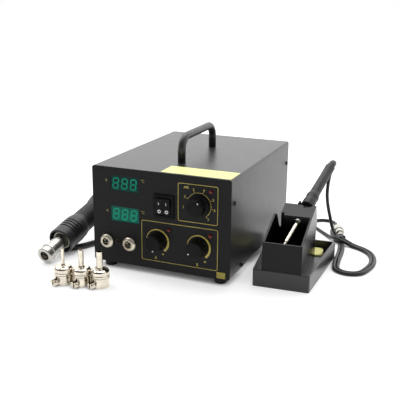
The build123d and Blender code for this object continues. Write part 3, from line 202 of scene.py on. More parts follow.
def roughen(tree, shader, factor, height, strength=1.0, edge=0.0):
    """Bumps of that height in metres, on normals that are rounded over edge metres at sharp edges."""
    bump = tree.nodes.new("ShaderNodeBump")
    bump.inputs["Strength"].default_value = strength
    bump.inputs["Distance"].default_value = height
    tree.links.new(factor, bump.inputs["Height"])
    if edge:
        bevel = tree.nodes.new("ShaderNodeBevel")
        bevel.samples = 4
        bevel.inputs["Radius"].default_value = edge
        tree.links.new(bevel.outputs["Normal"], bump.inputs["Normal"])
    tree.links.new(bump.outputs["Normal"], shader.inputs["Normal"])


# %% [markdown]
# ## Paint, plastic and rubber
#
# The case is sprayed in satin black that shows the room's white at a low
# angle. Moulded plastic is similar but grainier, and rubber is the dullest.
# One function per kind, with the numbers that set one part from the next.

# %% Painted sheet
def satin_paint(name, colour, roughness, peel=0.00003, specular=0.5, ior=1.5):
    """Sprayed paint: a faint orange peel, about a millimetre from one crest to the next."""
    material, tree, shader = start_finish(name, colour, roughness, specular=specular, ior=ior)
    cloud = noise(tree, 18.0)
    lighter = tuple(min(1.0, c * 1.15) for c in colour)
    vary_colour(tree, shader, cloud, colour, lighter)
    vary_roughness(tree, shader, noise(tree, 60.0), roughness - 0.012, roughness + 0.012)
    roughen(tree, shader, noise(tree, 900.0, 3.0), peel, 0.5, edge=0.0005)
    return material


# %% Moulded plastic and rubber
def moulded(name, colour, roughness, grain=0.00004, patches=1400.0, specular=0.5):
    """Moulded plastic or rubber: spark-eroded grain, and a slight bloom that lightens it in patches."""
    material, tree, shader = start_finish(name, colour, roughness, specular=specular)
    bloom = tuple(c * 1.5 + 0.004 for c in colour)
    vary_colour(tree, shader, noise(tree, 45.0), colour, bloom)
    vary_roughness(tree, shader, noise(tree, 120.0), roughness - 0.06, roughness + 0.06)
    roughen(tree, shader, noise(tree, patches, 3.0), grain, 0.7, edge=0.0004)
    return material


# %% [markdown]
# ## Metal
#
# Turned and drawn steel carries fine lines round or along its axis. Noise that
# is stretched hard in one direction gives such lines cheaply. Plated parts are
# smoother, with a warm tint where the nickel is thin.

# %% Bright and brushed metal
def bright_metal(name, colour, roughness, stretch=(1, 1, 12), lines=0.000006, shade=0.75):
    """Metal with brush lines: noise squeezed along one axis drives colour, roughness and a shallow bump."""
    material, tree, shader = start_finish(name, colour, roughness, metallic=1.0)
    vary_colour(tree, shader, noise(tree, 90.0), tuple(c * shade for c in colour), colour)
    brushed = noise(tree, 420.0, 5.0, stretch)
    vary_roughness(tree, shader, brushed, roughness * 0.7, roughness * 1.35)
    roughen(tree, shader, brushed, lines, 0.8, edge=0.0002)
    return material


# %% [markdown]
# ## One finish for each material slot
#
# The record names a slot for every CAD piece. The dictionary below answers
# each name with a finish, so nothing is left in plain grey, and the parts
# inside the case are dressed as well, for anyone who takes the lid off.

# %% Display glass, sponge, labels, circuit board and contacts
# The display windows' painted glow and painted shade change between these two heights.
DISPLAYS_LOW, DISPLAYS_HIGH = 0.055, 0.115       # metres above the panel's foot
JACK_AT, JACK_HALF = 57.8, 6.0                   # millimetres left of the case's middle, and half its room
FOIL_TO, PAPER_FROM = 0.04, 0.1                  # metres above the bench


def display_green(name):
    """Tinted window over the digits, with painted light: the lower display is painted lighter, a painted
    glow, and the upper one darker, a painted shade.
    """
    material, tree, shader = start_finish(name, (0.0, 0.06, 0.05), 0.3, specular=0.12)
    height = spread(tree, place_along(tree, "Z"), PANEL_FOOT + DISPLAYS_LOW, PANEL_FOOT + DISPLAYS_HIGH)
    vary_colour(tree, shader, height, (0.006, 0.15, 0.11), (0.0, 0.026, 0.023), 0.2, 0.8)
    return material


def cellulose(name):
    """Sponge: open pores as dark flecks and deep pits."""
    material, tree, shader = start_finish(name, (0.82, 0.78, 0.3), 0.9, specular=0.2)
    pores = noise(tree, 650.0, 8.0)
    vary_colour(tree, shader, pores, (0.5, 0.46, 0.12), (0.86, 0.83, 0.36), 0.36, 0.5)
    roughen(tree, shader, pores, 0.0006, 1.0)
    return material


def label_paper(name):
    """Two bare stickers, told apart by height: gold foil low on the panel, pale yellow paper on the lid."""
    material, tree, shader = start_finish(name, (0.7, 0.7, 0.25), 0.5, specular=0.3)
    height = place_along(tree, "Z")
    vary_colour(tree, shader, height, (0.50, 0.42, 0.09), (0.76, 0.78, 0.29), FOIL_TO, PAPER_FROM)
    return material


def laminate(name):
    """Circuit board: solder mask with slightly lighter tracks running one way."""
    material, tree, shader = start_finish(name, (0.02, 0.2, 0.07), 0.3)
    tracks = noise(tree, 260.0, 2.0, (1, 8, 8))
    vary_colour(tree, shader, tracks, (0.015, 0.15, 0.05), (0.05, 0.32, 0.12), 0.45, 0.5)
    return material


def contact_metal(name):
    """Bright pins inside the sockets, and a blackened jack halfway between them, told apart by place."""
    material, tree, shader = start_finish(name, (0.9, 0.86, 0.72), 0.3, metallic=1.0)
    near_jack = tree.nodes.new("ShaderNodeMath")
    near_jack.operation = "COMPARE"
    near_jack.inputs[1].default_value = case_origin[0] - JACK_AT * MM
    near_jack.inputs[2].default_value = JACK_HALF * MM
    tree.links.new(place_along(tree, "X"), near_jack.inputs[0])
    vary_colour(tree, shader, near_jack.outputs["Value"], (0.9, 0.86, 0.72), (0.03, 0.028, 0.025), 0.4, 0.6)
    return material


# %% The dictionary of finishes
finishes = {
    "case_black": satin_paint("case_black", (0.010, 0.010, 0.0105), 0.36, 0.00001),
    "panel_black": satin_paint("panel_black", (0.008, 0.008, 0.0085), 0.5, 0.00002, specular=0.17),
    "zinc_sheet": bright_metal("zinc_sheet", (0.6, 0.6, 0.57), 0.35, (1, 1, 1)),
    "foot_rubber": moulded("foot_rubber", (0.005, 0.005, 0.005), 0.6, 0.00006, specular=0.25),
    "handle_black": moulded("handle_black", (0.018, 0.018, 0.019), 0.40, 0.00008, 900.0, specular=0.6),
    "screw_black": bright_metal("screw_black", (0.05, 0.05, 0.05), 0.3, (1, 1, 1)),
    # The display windows carry painted light: a painted glow on the lower one and a painted shade on the
    # upper one.
    "display_window": display_green("display_window"),
    "display_body": moulded("display_body", (0.02, 0.03, 0.03), 0.5),
    "knob_black": moulded("knob_black", (0.003, 0.003, 0.003), 0.5, 0.00003, specular=0.12),
    "shaft_steel": bright_metal("shaft_steel", (0.55, 0.54, 0.52), 0.3),
    "switch_black": moulded("switch_black", (0.003, 0.003, 0.0035), 0.45, 0.00002, specular=0.09),
    "led_red": moulded("led_red", (0.12, 0.003, 0.004), 0.12, 0.0, 1400.0),
    "socket_chrome": bright_metal("socket_chrome", (0.66, 0.61, 0.50), 0.33, (1, 12, 1)),
    "socket_black": moulded("socket_black", (0.01, 0.01, 0.01), 0.45),
    "contact_brass": contact_metal("contact_brass"),
    "label_paper": label_paper("label_paper"),
    "inlet_black": moulded("inlet_black", (0.012, 0.012, 0.012), 0.4),
    "hose_rubber": moulded("hose_rubber", (0.010, 0.010, 0.011), 0.5, 0.00008, 800.0),
    "air_tube_clear": moulded("air_tube_clear", (0.6, 0.6, 0.55), 0.35),
    "pump_body": satin_paint("pump_body", (0.2, 0.22, 0.24), 0.45),
    "core_steel": bright_metal("core_steel", (0.3, 0.3, 0.31), 0.45, (1, 14, 1), 0.00003),
    "coil_copper": bright_metal("coil_copper", (0.72, 0.3, 0.12), 0.3, (1, 1, 20), 0.00004),
    "board_green": laminate("board_green"),
    "component_black": moulded("component_black", (0.02, 0.02, 0.022), 0.4),
    "heat_sink_metal": bright_metal("heat_sink_metal", (0.7, 0.7, 0.72), 0.35, (1, 1, 1)),
    "sleeve_steel": bright_metal("sleeve_steel", (0.22, 0.22, 0.19), 0.35, (1, 12, 1)),
    "gun_steel": bright_metal("gun_steel", (0.50, 0.485, 0.44), 0.34, (1, 12, 1), 0.00001),
    "gun_plastic": moulded("gun_plastic", (0.015, 0.015, 0.0165), 0.4, 0.00007, 1100.0, specular=0.34),
    "ceramic_white": moulded("ceramic_white", (0.7, 0.66, 0.58), 0.7),
    "nozzle_nickel": bright_metal("nozzle_nickel", (0.70, 0.64, 0.54), 0.11, (1, 1, 10), 0.000006),
    "base_metal": satin_paint("base_metal", (0.010, 0.010, 0.0105), 0.3, 0.00002),
    "stand_metal": satin_paint("stand_metal", (0.004, 0.004, 0.0045), 0.24, 0.00002, ior=1.27),
    "cup_metal": bright_metal("cup_metal", (0.3, 0.3, 0.3), 0.3),
    "sponge_yellow": cellulose("sponge_yellow"),
    "tip_copper": bright_metal("tip_copper", (0.62, 0.58, 0.5), 0.35),
    "iron_steel": bright_metal("iron_steel", (0.66, 0.62, 0.52), 0.24),
    "iron_plastic": moulded("iron_plastic", (0.013, 0.013, 0.0145), 0.5, 0.00008, 1100.0, specular=0.36),
    "cord_rubber": moulded("cord_rubber", (0.012, 0.012, 0.013), 0.42, 0.00004, 1000.0, specular=0.32),
    "tie_plastic": moulded("tie_plastic", (0.015, 0.015, 0.016), 0.4),
    "plug_chrome": bright_metal("plug_chrome", (0.52, 0.50, 0.45), 0.26, (1, 12, 1)),
}


def wear(piece, finish):
    """Give a piece its finish."""
    piece.data.materials.clear()
    piece.data.materials.append(finishes[finish])


def dress(piece, finish, body):
    """Give a piece its finish and tie it to its moving body."""
    wear(piece, finish)
    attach(piece, body)
    return piece


def stand_in(piece, slot, body, *nodes):
    """Dress a piece that replaces CAD pieces, in the finish of their slot."""
    dress(piece, slot, body)
    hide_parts(*nodes)
    return piece


for part in frame["record"]["subparts"]:
    wear(frame["nodes"][part["node"]], part["material_slot"])
wear(frame["nodes"]["front_panel"], "panel_black")
wear(frame["nodes"]["stand_base"], "base_metal")
print("finishes", len(finishes))

# %% [markdown]
# ## The hose
#
# The air hose is 8 mm silicone, 0.76 m long. It leaves the gland at the back,
# lies along the bench, turns round under the handpiece, which rests on it, and
# rises into the handpiece's boot. A chain of short pieces would look like bent
# wire, so it is one smooth spline whose control points are listed, and a round
# bevel gives it its thickness. When the handpiece is lifted, the part of the hose
# above the bench bends with it. Here the tube is made a plain mesh.

# %% A helper for round cords
def round_cord(name, points, radius):
    """A tube round one smooth spline of order 3 that starts at the first point and ends at the last."""
    curve = bpy.data.curves.new(name, "CURVE")
    curve.dimensions = "3D"
    spline = curve.splines.new("NURBS")
    spline.points.add(len(points) - 1)
    spline.points.foreach_set("co", np.column_stack([points, np.ones(len(points))]).ravel())
    spline.order_u = 3
    spline.use_endpoint_u = True
    spline.resolution_u = 10
    curve.bevel_depth = radius
    curve.bevel_resolution = 5
    curve.use_fill_caps = True
    return add_object(name, curve)


def drawn_mesh(piece):
    """The mesh that a curve or a text is drawn as."""
    return bpy.data.meshes.new_from_object(piece.evaluated_get(bpy.context.evaluated_depsgraph_get()))


def points_of(mesh):
    """All points of a mesh, one to a row."""
    points = np.empty(len(mesh.vertices) * 3)
    mesh.vertices.foreach_get("co", points)
    return points.reshape(-1, 3)


def drawn_line(piece):
    """Points of the spline itself, as it is drawn without its thickness."""
    thin = piece.data.copy()
    thin.bevel_depth = 0.0
    carrier = add_object("carrier", thin)
    line = points_of(drawn_mesh(carrier))
    bpy.data.objects.remove(carrier)
    return line


def line_length(points):
    """Length of a line: the distances between neighbouring points, added up."""
    return float(np.linalg.norm(np.diff(points, axis=0), axis=1).sum())


def as_mesh(piece):
    """The same tube as a mesh under the same name."""
    name, tube = piece.name, drawn_mesh(piece)
    bpy.data.objects.remove(piece)
    return add_object(name, tube)


# %% The handpiece's axis
def aimed(start, rise, turn):
    """Where a sloping tool starts, and its three directions: across it, down and along its axis.

    along = (sin turn * cos rise, cos turn * cos rise, sin rise), and the other two are square to it.
    """
    up, side = np.radians(rise), np.radians(turn)
    along = np.array([np.sin(side) * np.cos(up), np.cos(side) * np.cos(up), np.sin(up)])
    across = np.array([np.cos(side), -np.sin(side), 0.0])
    return start, across, np.cross(along, across), along


GUN_NOSE, GUN_RISE, GUN_TURN = (-154.4, -25.8, 12.0), 14.0, 3.4
BOOT_END, HOSE_STRAIGHT = 0.222, 0.026           # metres from the nose to the boot's end, and out of it
gun_axes = aimed(from_case(GUN_NOSE), GUN_RISE, GUN_TURN)
gun_start, _, _, gun_along = gun_axes
print("handpiece points along", gun_along.round(3))

# %% Lay the hose
HOSE_R = 0.004
hose_route = np.vstack([from_case([
    (-62, 258, 20), (-62, 283, 20), (-70, 308, 9), (-90, 325.5, 4.2), (-117, 322.5, 4.2), (-132, 297, 4.2),
    (-129, 256, 4.2), (-120, 212, 4.2), (-113, 166, 4.2), (-112, 124, 4.2), (-121, 88, 4.2), (-133, 60, 4.2),
    (-145, 35.5, 4.2), (-172, 30.5, 4.2), (-193, 47.5, 4.2), (-196, 78, 4.2), (-204, 111, 4.2),
    (-208.5, 145, 4.2), (-216, 178, 9), (-219, 206, 21), (-209, 232, 37), (-186, 247, 54), (-159, 242, 68)]),
    gun_start + gun_along * (BOOT_END + HOSE_STRAIGHT), gun_start + gun_along * BOOT_END])
hose = round_cord("silicone_hose", hose_route, HOSE_R)
hose_line = drawn_line(hose)
hose = as_mesh(hose)
wear(hose, "hose_rubber")
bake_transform(hose)
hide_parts("air_hose")
print("hose length", round(line_length(hose_line), 4))

# %% [markdown]
# ## The iron's cord
#
# The cord leaves the iron's boot, drops behind the stand and is tied into a
# loose hank: two turns out to the right, one to the left, and then its plug.
# The strands lie side by side on the bench and cross only near the tie. The
# two right-hand turns are one drawn loop, moved half a strand to either side.

# %% Strands beside a drawn loop
def beside(points, shift):
    """A flat run moved sideways: each point goes shift to the left of the run's direction there."""
    points = np.asarray(points, float)
    ahead = np.gradient(points, axis=0)
    left = np.column_stack([-ahead[:, 1], ahead[:, 0]])
    return points + left / np.linalg.norm(left, axis=1)[:, None] * shift


def at_height(points, height):
    """Points of a flat run with their height added."""
    return np.column_stack([points, np.full(len(points), height)])


CORD_R = 0.0024
BENCH_LINE, STRAND_SHIFT = 2.5, 2.5              # a strand's middle above the bench, and off the drawn loop
right_loop = [(205, 203.5), (220, 195.5), (232, 183), (239, 165), (241.5, 144), (238.5, 124), (232.5, 104),
              (216, 97.5), (200.8, 105.5), (197.3, 124.5), (195, 145), (194, 165), (191.5, 187)]
left_loop = [(162.3, 251), (162.5, 272), (163.5, 291), (152.5, 303.8), (136, 303), (125.5, 290), (128.5, 273),
             (141, 257), (155, 241)]

# %% Lay the cord
lead_start = np.array([168.2, 208.2, 117.1])
lead_dir = np.array([-0.146, 0.860, -0.489])
cord_route = from_case(np.vstack([
    lead_start, lead_start + 12 * lead_dir,
    (162.2, 222.5, 100), (158.9, 226.3, 82), (157.8, 230.3, 62), (160.3, 234.3, 43), (164.0, 235.4, 28),
    (168.2, 230.5, 16.5), (176.6, 220.4, 8.6), (187.0, 214.4, 7.7), (196.5, 210.0, 5.0),
    at_height(beside(right_loop, STRAND_SHIFT), BENCH_LINE),
    (184.6, 211.0, BENCH_LINE), (176.5, 223.5, BENCH_LINE),
    at_height(np.array(left_loop), BENCH_LINE),
    (166.5, 226.0, 3.6), (175.0, 214.2, 7.2), (184.5, 208.3, 7.7), (194.5, 204.2, 5.6),
    at_height(beside(right_loop, -STRAND_SHIFT), BENCH_LINE),
    (189.3, 204.0, BENCH_LINE), (188.0, 213.6, BENCH_LINE), (185.4, 220.6, 3.8), (183.4, 224.8, 6.4),
    (181.6, 228.6, 7.5)]))
cord = round_cord("iron_lead", cord_route, CORD_R)
stand_in(cord, "cord_rubber", "iron", "iron_cord", "cord_loop_right", "cord_loop_left")
print("cord length", round(line_length(drawn_line(cord)), 4))

# %% [markdown]
# ## Surfaces from numbers
#
# The remaining pieces are grids of points that numpy works out in one go. A
# grid has rows along a piece and columns round it. Each cell of four points
# becomes a face, and where a row shrinks to one point the doubles are merged,
# which closes the end like the pole of a globe.

# %% From grids to a mesh
def cells(grid, start=0, round_rows=False):
    """Faces of a grid of points: each joins a point, its right neighbour and the two in the next row."""
    index = np.arange(start, start + grid.shape[0] * grid.shape[1]).reshape(grid.shape[:2])
    index = np.hstack([index, index[:, :1]])
    if round_rows:
        index = np.vstack([index, index[:1]])
    return np.stack([index[:-1, :-1], index[:-1, 1:], index[1:, 1:], index[1:, :-1]], axis=-1).reshape(-1, 4)


def shell(name, grids, closed=False, smooth=True):
    """One object from several grids whose columns close round. closed joins the last row to the first too."""
    points, faces, count = [], [], 0
    for grid in grids:
        points.append(grid.reshape(-1, 3))
        faces.extend(cells(grid, count, closed).tolist())
        count += grid.shape[0] * grid.shape[1]
    mesh = bpy.data.meshes.new(name)
    mesh.from_pydata(np.vstack(points).tolist(), [], faces)
    work = bmesh.new()
    work.from_mesh(mesh)
    bmesh.ops.remove_doubles(work, verts=work.verts, dist=1e-6)
    bmesh.ops.recalc_face_normals(work, faces=work.faces)
    work.to_mesh(mesh)
    work.free()
    mesh.polygons.foreach_set("use_smooth", np.full(len(mesh.polygons), smooth))
    return add_object(name, mesh)


# %% Turned shapes
def turned(profile, frame_axes, sides=64):
    """Profile of (radius, distance) carried round an axis: centre + along * distance + radius * direction."""
    start, across, down, along = frame_axes
    radius, distance = np.asarray(profile, float).T * MM
    angle = np.linspace(0, 2 * np.pi, sides, endpoint=False)
    ring = np.cos(angle)[:, None] * across + np.sin(angle)[:, None] * down
    return start + distance[:, None, None] * along + radius[:, None, None] * ring[None]


# %% [markdown]
# ## Ink on the panel
#
# The panel's gold lines are screen printed. They could be painted by a
# texture, but thin solid bars keep their edges sharp from any distance and go
# with the mesh wherever it is used. Each bar is a flat strip that follows a
# path and stands a twentieth of a millimetre proud of the panel.

# %% Bars of ink
INK_OUT, INK_SUNK = 0.05, -0.03


def bar(path, width, closed=False, out=INK_OUT):
    """A flat bar on the panel: edges half a width to each side of the path, a front face and a back face."""
    path = np.asarray(path, float)
    ahead = np.roll(path, -1, 0) - np.roll(path, 1, 0) if closed else np.gradient(path, axis=0)
    side = np.column_stack([-ahead[:, 1], ahead[:, 0]])
    side = side / np.linalg.norm(side, axis=1)[:, None] * np.reshape(width, (-1, 1)) / 2
    corners = [(path + side, out), (path - side, out), (path - side, INK_SUNK), (path + side, INK_SUNK)]
    grid = np.stack([np.insert(edge, 1, depth, axis=1) for edge, depth in corners], axis=1)
    if not closed:
        ends = grid.mean(axis=1, keepdims=True).repeat(4, axis=1)
        grid = np.concatenate([ends[:1], grid, ends[-1:]])
    return grid


def arc(centre, radius, first, last, count=40):
    """Points on a circle, with angles in degrees clockwise from the top."""
    angle = np.radians(np.linspace(first, last, count))
    return np.column_stack([centre[0] + radius * np.sin(angle), centre[1] + radius * np.cos(angle)])


def rounded_frame(left, right, low, high, radius):
    """Outline of a box whose corners are quarter circles."""
    centres = [(right - radius, high - radius, 0), (right - radius, low + radius, 90),
               (left + radius, low + radius, 180), (left + radius, high - radius, 270)]
    return np.vstack([arc((x, z), radius, turn, turn + 90, 9) for x, z, turn in centres])


# %% Frames round the controls
GOLD = (0.58, 0.47, 0.09)
finishes["panel_gold"] = satin_paint("panel_gold", GOLD, 0.42, 0.000005)
finishes["panel_gold_thin"] = satin_paint("panel_gold_thin", tuple(0.55 * c for c in GOLD), 0.5, 0.000005)
FRAME_R, FRAME_LINE = 2.2, 0.75
frame_boxes = ((25.3, 76.6, 68.5, 116.0), (-24.5, 77.3, 10.7, 62.5))
frames = [bar(rounded_frame(*box, FRAME_R), FRAME_LINE, closed=True) for box in frame_boxes]


def printed(name, loops=(), strips=(), finish="panel_gold"):
    """A printed piece of closed loops and open strips, on the panel."""
    grids = [np.concatenate([grid, grid[:1]]) for grid in loops] + list(strips)
    return dress(shell(name, [on_panel(grid) for grid in grids], smooth=False), finish, "station")


printed("panel_frames", loops=frames)
print("panel frames", len(frames))

# %% [markdown]
# ## The dials
#
# The air dial is a ring of short arcs with a number at each step and a tick at
# each but the first. The two heat dials are a single swelling band that says
# less to more without a number. A band's width simply grows along its angle.

# %% Heat bands and their dots
AIR_KNOB, LEFT_KNOB, RIGHT_KNOB = (52.4, 90.4), (-3.0, 37.4), (52.4, 37.4)
HEAT_RING_R, HEAT_FROM, HEAT_TO, HEAT_THIN, HEAT_THICK = 15.0, -82, 141, 0.9, 3.0
PRINTED_DOT_R, PRINTED_DOT_LINE = 0.62, 1.2
swelling = np.linspace(HEAT_THIN, HEAT_THICK, 40)
heat_bands = [bar(arc(knob, HEAT_RING_R, HEAT_FROM, HEAT_TO), swelling) for knob in (LEFT_KNOB, RIGHT_KNOB)]
for dot in ((4.6, 21.2), (61.2, 19.8)):
    heat_bands.append(bar(arc(dot, PRINTED_DOT_R, 0, 340, 18), PRINTED_DOT_LINE))
printed("heat_bands", strips=heat_bands)
print("heat bands and dots", len(heat_bands))

# %% Air dial: ticks and segments
AIR_STEPS = [-101, -63, -20, 18, 64, 99, 143]
AIR_RING_R, TICK_FROM, TICK_TO, STEP_GAP = 15.8, 15.4, 18.2, 5
ARC_LINE, TICK_LINE = 0.7, 0.8
segments = [bar(arc(AIR_KNOB, AIR_RING_R, first + STEP_GAP, last - STEP_GAP, 12), ARC_LINE)
            for first, last in zip(AIR_STEPS[1:], AIR_STEPS[2:])]
ticks = [bar(np.vstack([arc(AIR_KNOB, reach, turn, turn, 1) for reach in (TICK_FROM, TICK_TO)]), TICK_LINE)
         for turn in AIR_STEPS[1:]]
printed("air_dial", strips=segments + ticks)
print("air dial:", len(segments), "arcs and", len(ticks), "ticks")

# %% Lettering
BOLDER = 0.09                                    # widens every stroke by that much on both sides
SMALL, LARGE, NUMBERS_R = 4.6, 5.0, 20.6


def letters(text, size, centre):
    """Plain letters as a solid in panel millimetres, (right, out, up), centred on a point."""
    curve = bpy.data.curves.new("letters", "FONT")
    curve.body, curve.size, curve.extrude = text, size, (INK_OUT - INK_SUNK) / 2
    curve.offset = BOLDER
    carrier = add_object("letters", curve)
    drawn = drawn_mesh(carrier)
    bpy.data.objects.remove(carrier)
    flat = points_of(drawn)
    middle = (flat[:, :2].max(0) + flat[:, :2].min(0)) / 2
    right, up = (flat[:, :2] - middle + centre).T
    out = (INK_OUT + INK_SUNK) / 2 + flat[:, 2]
    points = on_panel(np.column_stack([right, out, up]))
    drawn.vertices.foreach_set("co", points.ravel())
    return drawn


def lettered(name, words, finish="panel_gold"):
    """One piece from several words, each (text, size, centre)."""
    work = bmesh.new()
    for word in words:
        work.from_mesh(letters(*word))
    bmesh.ops.remove_doubles(work, verts=work.verts, dist=1e-6)
    bmesh.ops.recalc_face_normals(work, faces=work.faces)
    mesh = bpy.data.meshes.new(name)
    work.to_mesh(mesh)
    work.free()
    return dress(add_object(name, mesh), finish, "station")


numbers = [(str(step), SMALL, arc(AIR_KNOB, NUMBERS_R, turn, turn, 1)[0])
           for step, turn in enumerate(AIR_STEPS, start=1)]
lettered("air_dial_numbers", numbers)
lettered("display_marks", [("°C", LARGE, (-22.6, 112.6)), ("°C", LARGE, (-22.8, 72.2)),
                           ("B", SMALL, (-73.2, 108.6)), ("A", SMALL, (-72.8, 69.0))], "panel_gold_thin")
lettered("dial_words", [("AIR", SMALL, (35.9, 111.6)), ("A", LARGE, (-5.2, 15.2)),
                        ("B", LARGE, (51.2, 14.6))])
print("numbers round the air dial", len(numbers))

# %% [markdown]
# ## The displays
#
# Each display has three seven-segment digits. Switched off, the segments are
# only a little lighter than their green window. The lower window and its digits
# are painted lighter than the upper ones: a painted glow on the lower and a
# painted shade on the upper. A segment is a bar with pointed ends, and a digit
# is seven of them, leaning a few degrees.

# %% Digits
DIGIT_W, DIGIT_H, DIGIT_STEP, DIGIT_LEAN = 7.2, 12.8, 12.3, 0.1
SEGMENT, SEGMENT_TIP, SEGMENT_GAP, SEGMENT_OUT = 1.9, 0.05, 0.18, 0.06
DIGITS_MIDDLE, WINDOW_FACE = -48.0, -0.5
# Two copies of one segment colour, as painted light: the lighter one is a painted glow for the lower digits,
# the darker one a painted shade for the upper digits.
for name, colour in (("segment_painted_shade", (0.001, 0.235, 0.145)), ("segment_painted_glow", (0.012, 0.36, 0.22))):
    finishes[name] = moulded(name, colour, 0.4, 0.0, specular=0.1)


def segment(first, last, centre):
    """One bar of a digit: pointed at both ends, and as wide as it gets half a width inside them."""
    first, last = np.array(first, float), np.array(last, float)
    step = (last - first) / np.linalg.norm(last - first)
    tip, shoulder = step * SEGMENT_GAP, step * (SEGMENT_GAP + SEGMENT / 2)
    line = np.array([first + tip, first + shoulder, last - shoulder, last - tip]) + centre
    line[:, 0] += (line[:, 1] - centre[1]) * DIGIT_LEAN
    grid = bar(line, [SEGMENT_TIP, SEGMENT, SEGMENT, SEGMENT_TIP], out=SEGMENT_OUT)
    grid[..., 1] += WINDOW_FACE
    return grid


def digit(centre):
    """Seven bars between the six corners of a tall eight."""
    w, h = DIGIT_W / 2, DIGIT_H / 2
    corners = {"a": (-w, h), "b": (w, h), "c": (-w, 0), "d": (w, 0), "e": (-w, -h), "f": (w, -h)}
    pairs = ("ab", "cd", "ef", "ac", "ce", "bd", "df")
    return [segment(corners[p[0]], corners[p[1]], np.array(centre)) for p in pairs]


# The lower row of digits takes the painted glow, the upper row the painted shade.
rows = (("upper_digits", 106.0, "segment_painted_shade"), ("lower_digits", 66.0, "segment_painted_glow"))
for name, height, finish in rows:
    strips = [bars for step in (-1, 0, 1) for bars in digit((DIGITS_MIDDLE + step * DIGIT_STEP, height))]
    printed(name, strips=strips, finish=finish)
print("digits drawn")

# %% [markdown]
# ## Marks on the knobs and rockers
#
# A white dot is set into each knob, and the rockers carry the usual I and O.
# They ride on the parts that they mark, so they turn and tip with them.

# %% White dots
finishes["mark_white"] = moulded("mark_white", (0.8, 0.8, 0.78), 0.5)
KNOB_FACE, DOT_SUNK, DOT_R, DOT_REACH = 15.9, 0.4, 1.05, 8.4
POINTERS = {"airflow_control": (AIR_KNOB, 34.0), "left_heat_control": (LEFT_KNOB, 174.0),
            "right_heat_control": (RIGHT_KNOB, 236.0)}
for body, (knob, turn) in POINTERS.items():
    centre = arc(knob, DOT_REACH, turn, turn, 1)[0]
    start = on_panel((centre[0], KNOB_FACE - DOT_SUNK, centre[1]))
    face = (start, np.array([1.0, 0, 0]), np.array([0, 0, 1.0]), np.array([0, -1.0, 0]))
    dome = [(0, 0), (DOT_R, 0), (DOT_R, 0.25), (0.7, 0.42), (0, 0.48)]
    dress(shell(body + "_dot", [turned(dome, face, 24)]), "mark_white", body)
print("white dots", len(POINTERS))

# %% I and O
SWITCH_MIDDLE, ROCKER_STEP = (6.2, 83.8), 9.9
O_MIDDLE, O_R, O_LINE, I_LOW, I_HIGH, I_LINE = -5.2, 1.75, 0.95, 3.4, 7.2, 0.75
ROCKER_TILT, FACE_HOLLOW_R, FACE_HOLLOW_AT, PIVOT_IN = np.radians(10.0), 45.4, 50.4, 1.0


def on_rocker(grid, middle):
    """Bars bent onto a rocker's face: out = hollow's centre - sqrt(radius^2 - height^2), then tipped."""
    right, out, up = np.moveaxis(grid, -1, 0)
    away = FACE_HOLLOW_AT - np.sqrt(FACE_HOLLOW_R ** 2 - up ** 2) + out
    forward = away * np.cos(ROCKER_TILT) + up * np.sin(ROCKER_TILT) - PIVOT_IN
    height = up * np.cos(ROCKER_TILT) - away * np.sin(ROCKER_TILT)
    return on_panel(np.stack([middle[0] + right, forward, middle[1] + height], axis=-1))


ring = bar(arc((0, O_MIDDLE), O_R, 0, 345, 24), O_LINE, closed=True)
stroke = bar(np.column_stack([np.zeros(6), np.linspace(I_LOW, I_HIGH, 6)]), I_LINE)
for body, side in (("left_switch", -1), ("right_switch", 1)):
    middle = (SWITCH_MIDDLE[0] + side * ROCKER_STEP / 2, SWITCH_MIDDLE[1])
    grids = [on_rocker(grid, middle) for grid in (np.concatenate([ring, ring[:1]]), stroke)]
    dress(shell(body + "_marks", grids, smooth=False), "mark_white", body)
print("rocker marks set")

# %% [markdown]
# ## The carrying handle
#
# The handle is a bar bent twice, dipped in soft black. A circle is carried
# along a path in an upright plane: up, round a quarter circle, back, round
# another and down. At each point the ring spans the sideways direction and
# the one square to it and to the path.

# %% Carrying handle
handle_low, handle_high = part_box("carry_handle")
BAR_R, BAR_BEND, NEAR_LEG_AT, FAR_LEG_AT, BAR_SIDES = 0.0051, 0.0165, 0.061, 0.168, 40
bar_x = (handle_low.x + handle_high.x) / 2
bar_low, bar_top = handle_low.z, handle_high.z - BAR_R
leg_near, leg_far = case_origin[1] + NEAR_LEG_AT, case_origin[1] + FAR_LEG_AT
corner = np.linspace(0, np.pi / 2, 13)
rise, run = BAR_BEND * (1 - np.sin(corner)), BAR_BEND * (1 - np.cos(corner))
near_corner = np.column_stack([leg_near + run, bar_top - rise])
far_corner = np.column_stack([leg_far - rise, bar_top - run])
bar_path = np.vstack([(leg_near, bar_low), near_corner, far_corner, (leg_far, bar_low)])
ahead = np.gradient(bar_path, axis=0)
ahead[0] = (0, 1)
ahead[-1] = (0, -1)
ahead /= np.linalg.norm(ahead, axis=1)[:, None]
ring_turn = np.linspace(0, 2 * np.pi, BAR_SIDES, endpoint=False)
rings = np.stack([
    bar_x + BAR_R * np.cos(ring_turn) + 0 * ahead[:, :1],
    bar_path[:, :1] - BAR_R * np.sin(ring_turn) * ahead[:, 1:],
    bar_path[:, 1:] + BAR_R * np.sin(ring_turn) * ahead[:, :1]], axis=-1)
caps = rings.mean(axis=1, keepdims=True).repeat(BAR_SIDES, axis=1)
handle_grid = np.concatenate([caps[:1], rings, caps[-1:]])
stand_in(shell("handle_bar", [handle_grid]), "handle_black", "station", "carry_handle")
print("handle", round((leg_far - leg_near) / MM, 1), "mm between its legs")

# %% [markdown]
# ## The handpiece's grip
#
# The grip is ribbed finely all the way round. It is a turned shape whose
# profile is a gentle swell with a ripple added: radius(t) = swell(t) +
# ripple * cos(2 pi t / pitch). Bump alone would leave its outline smooth.

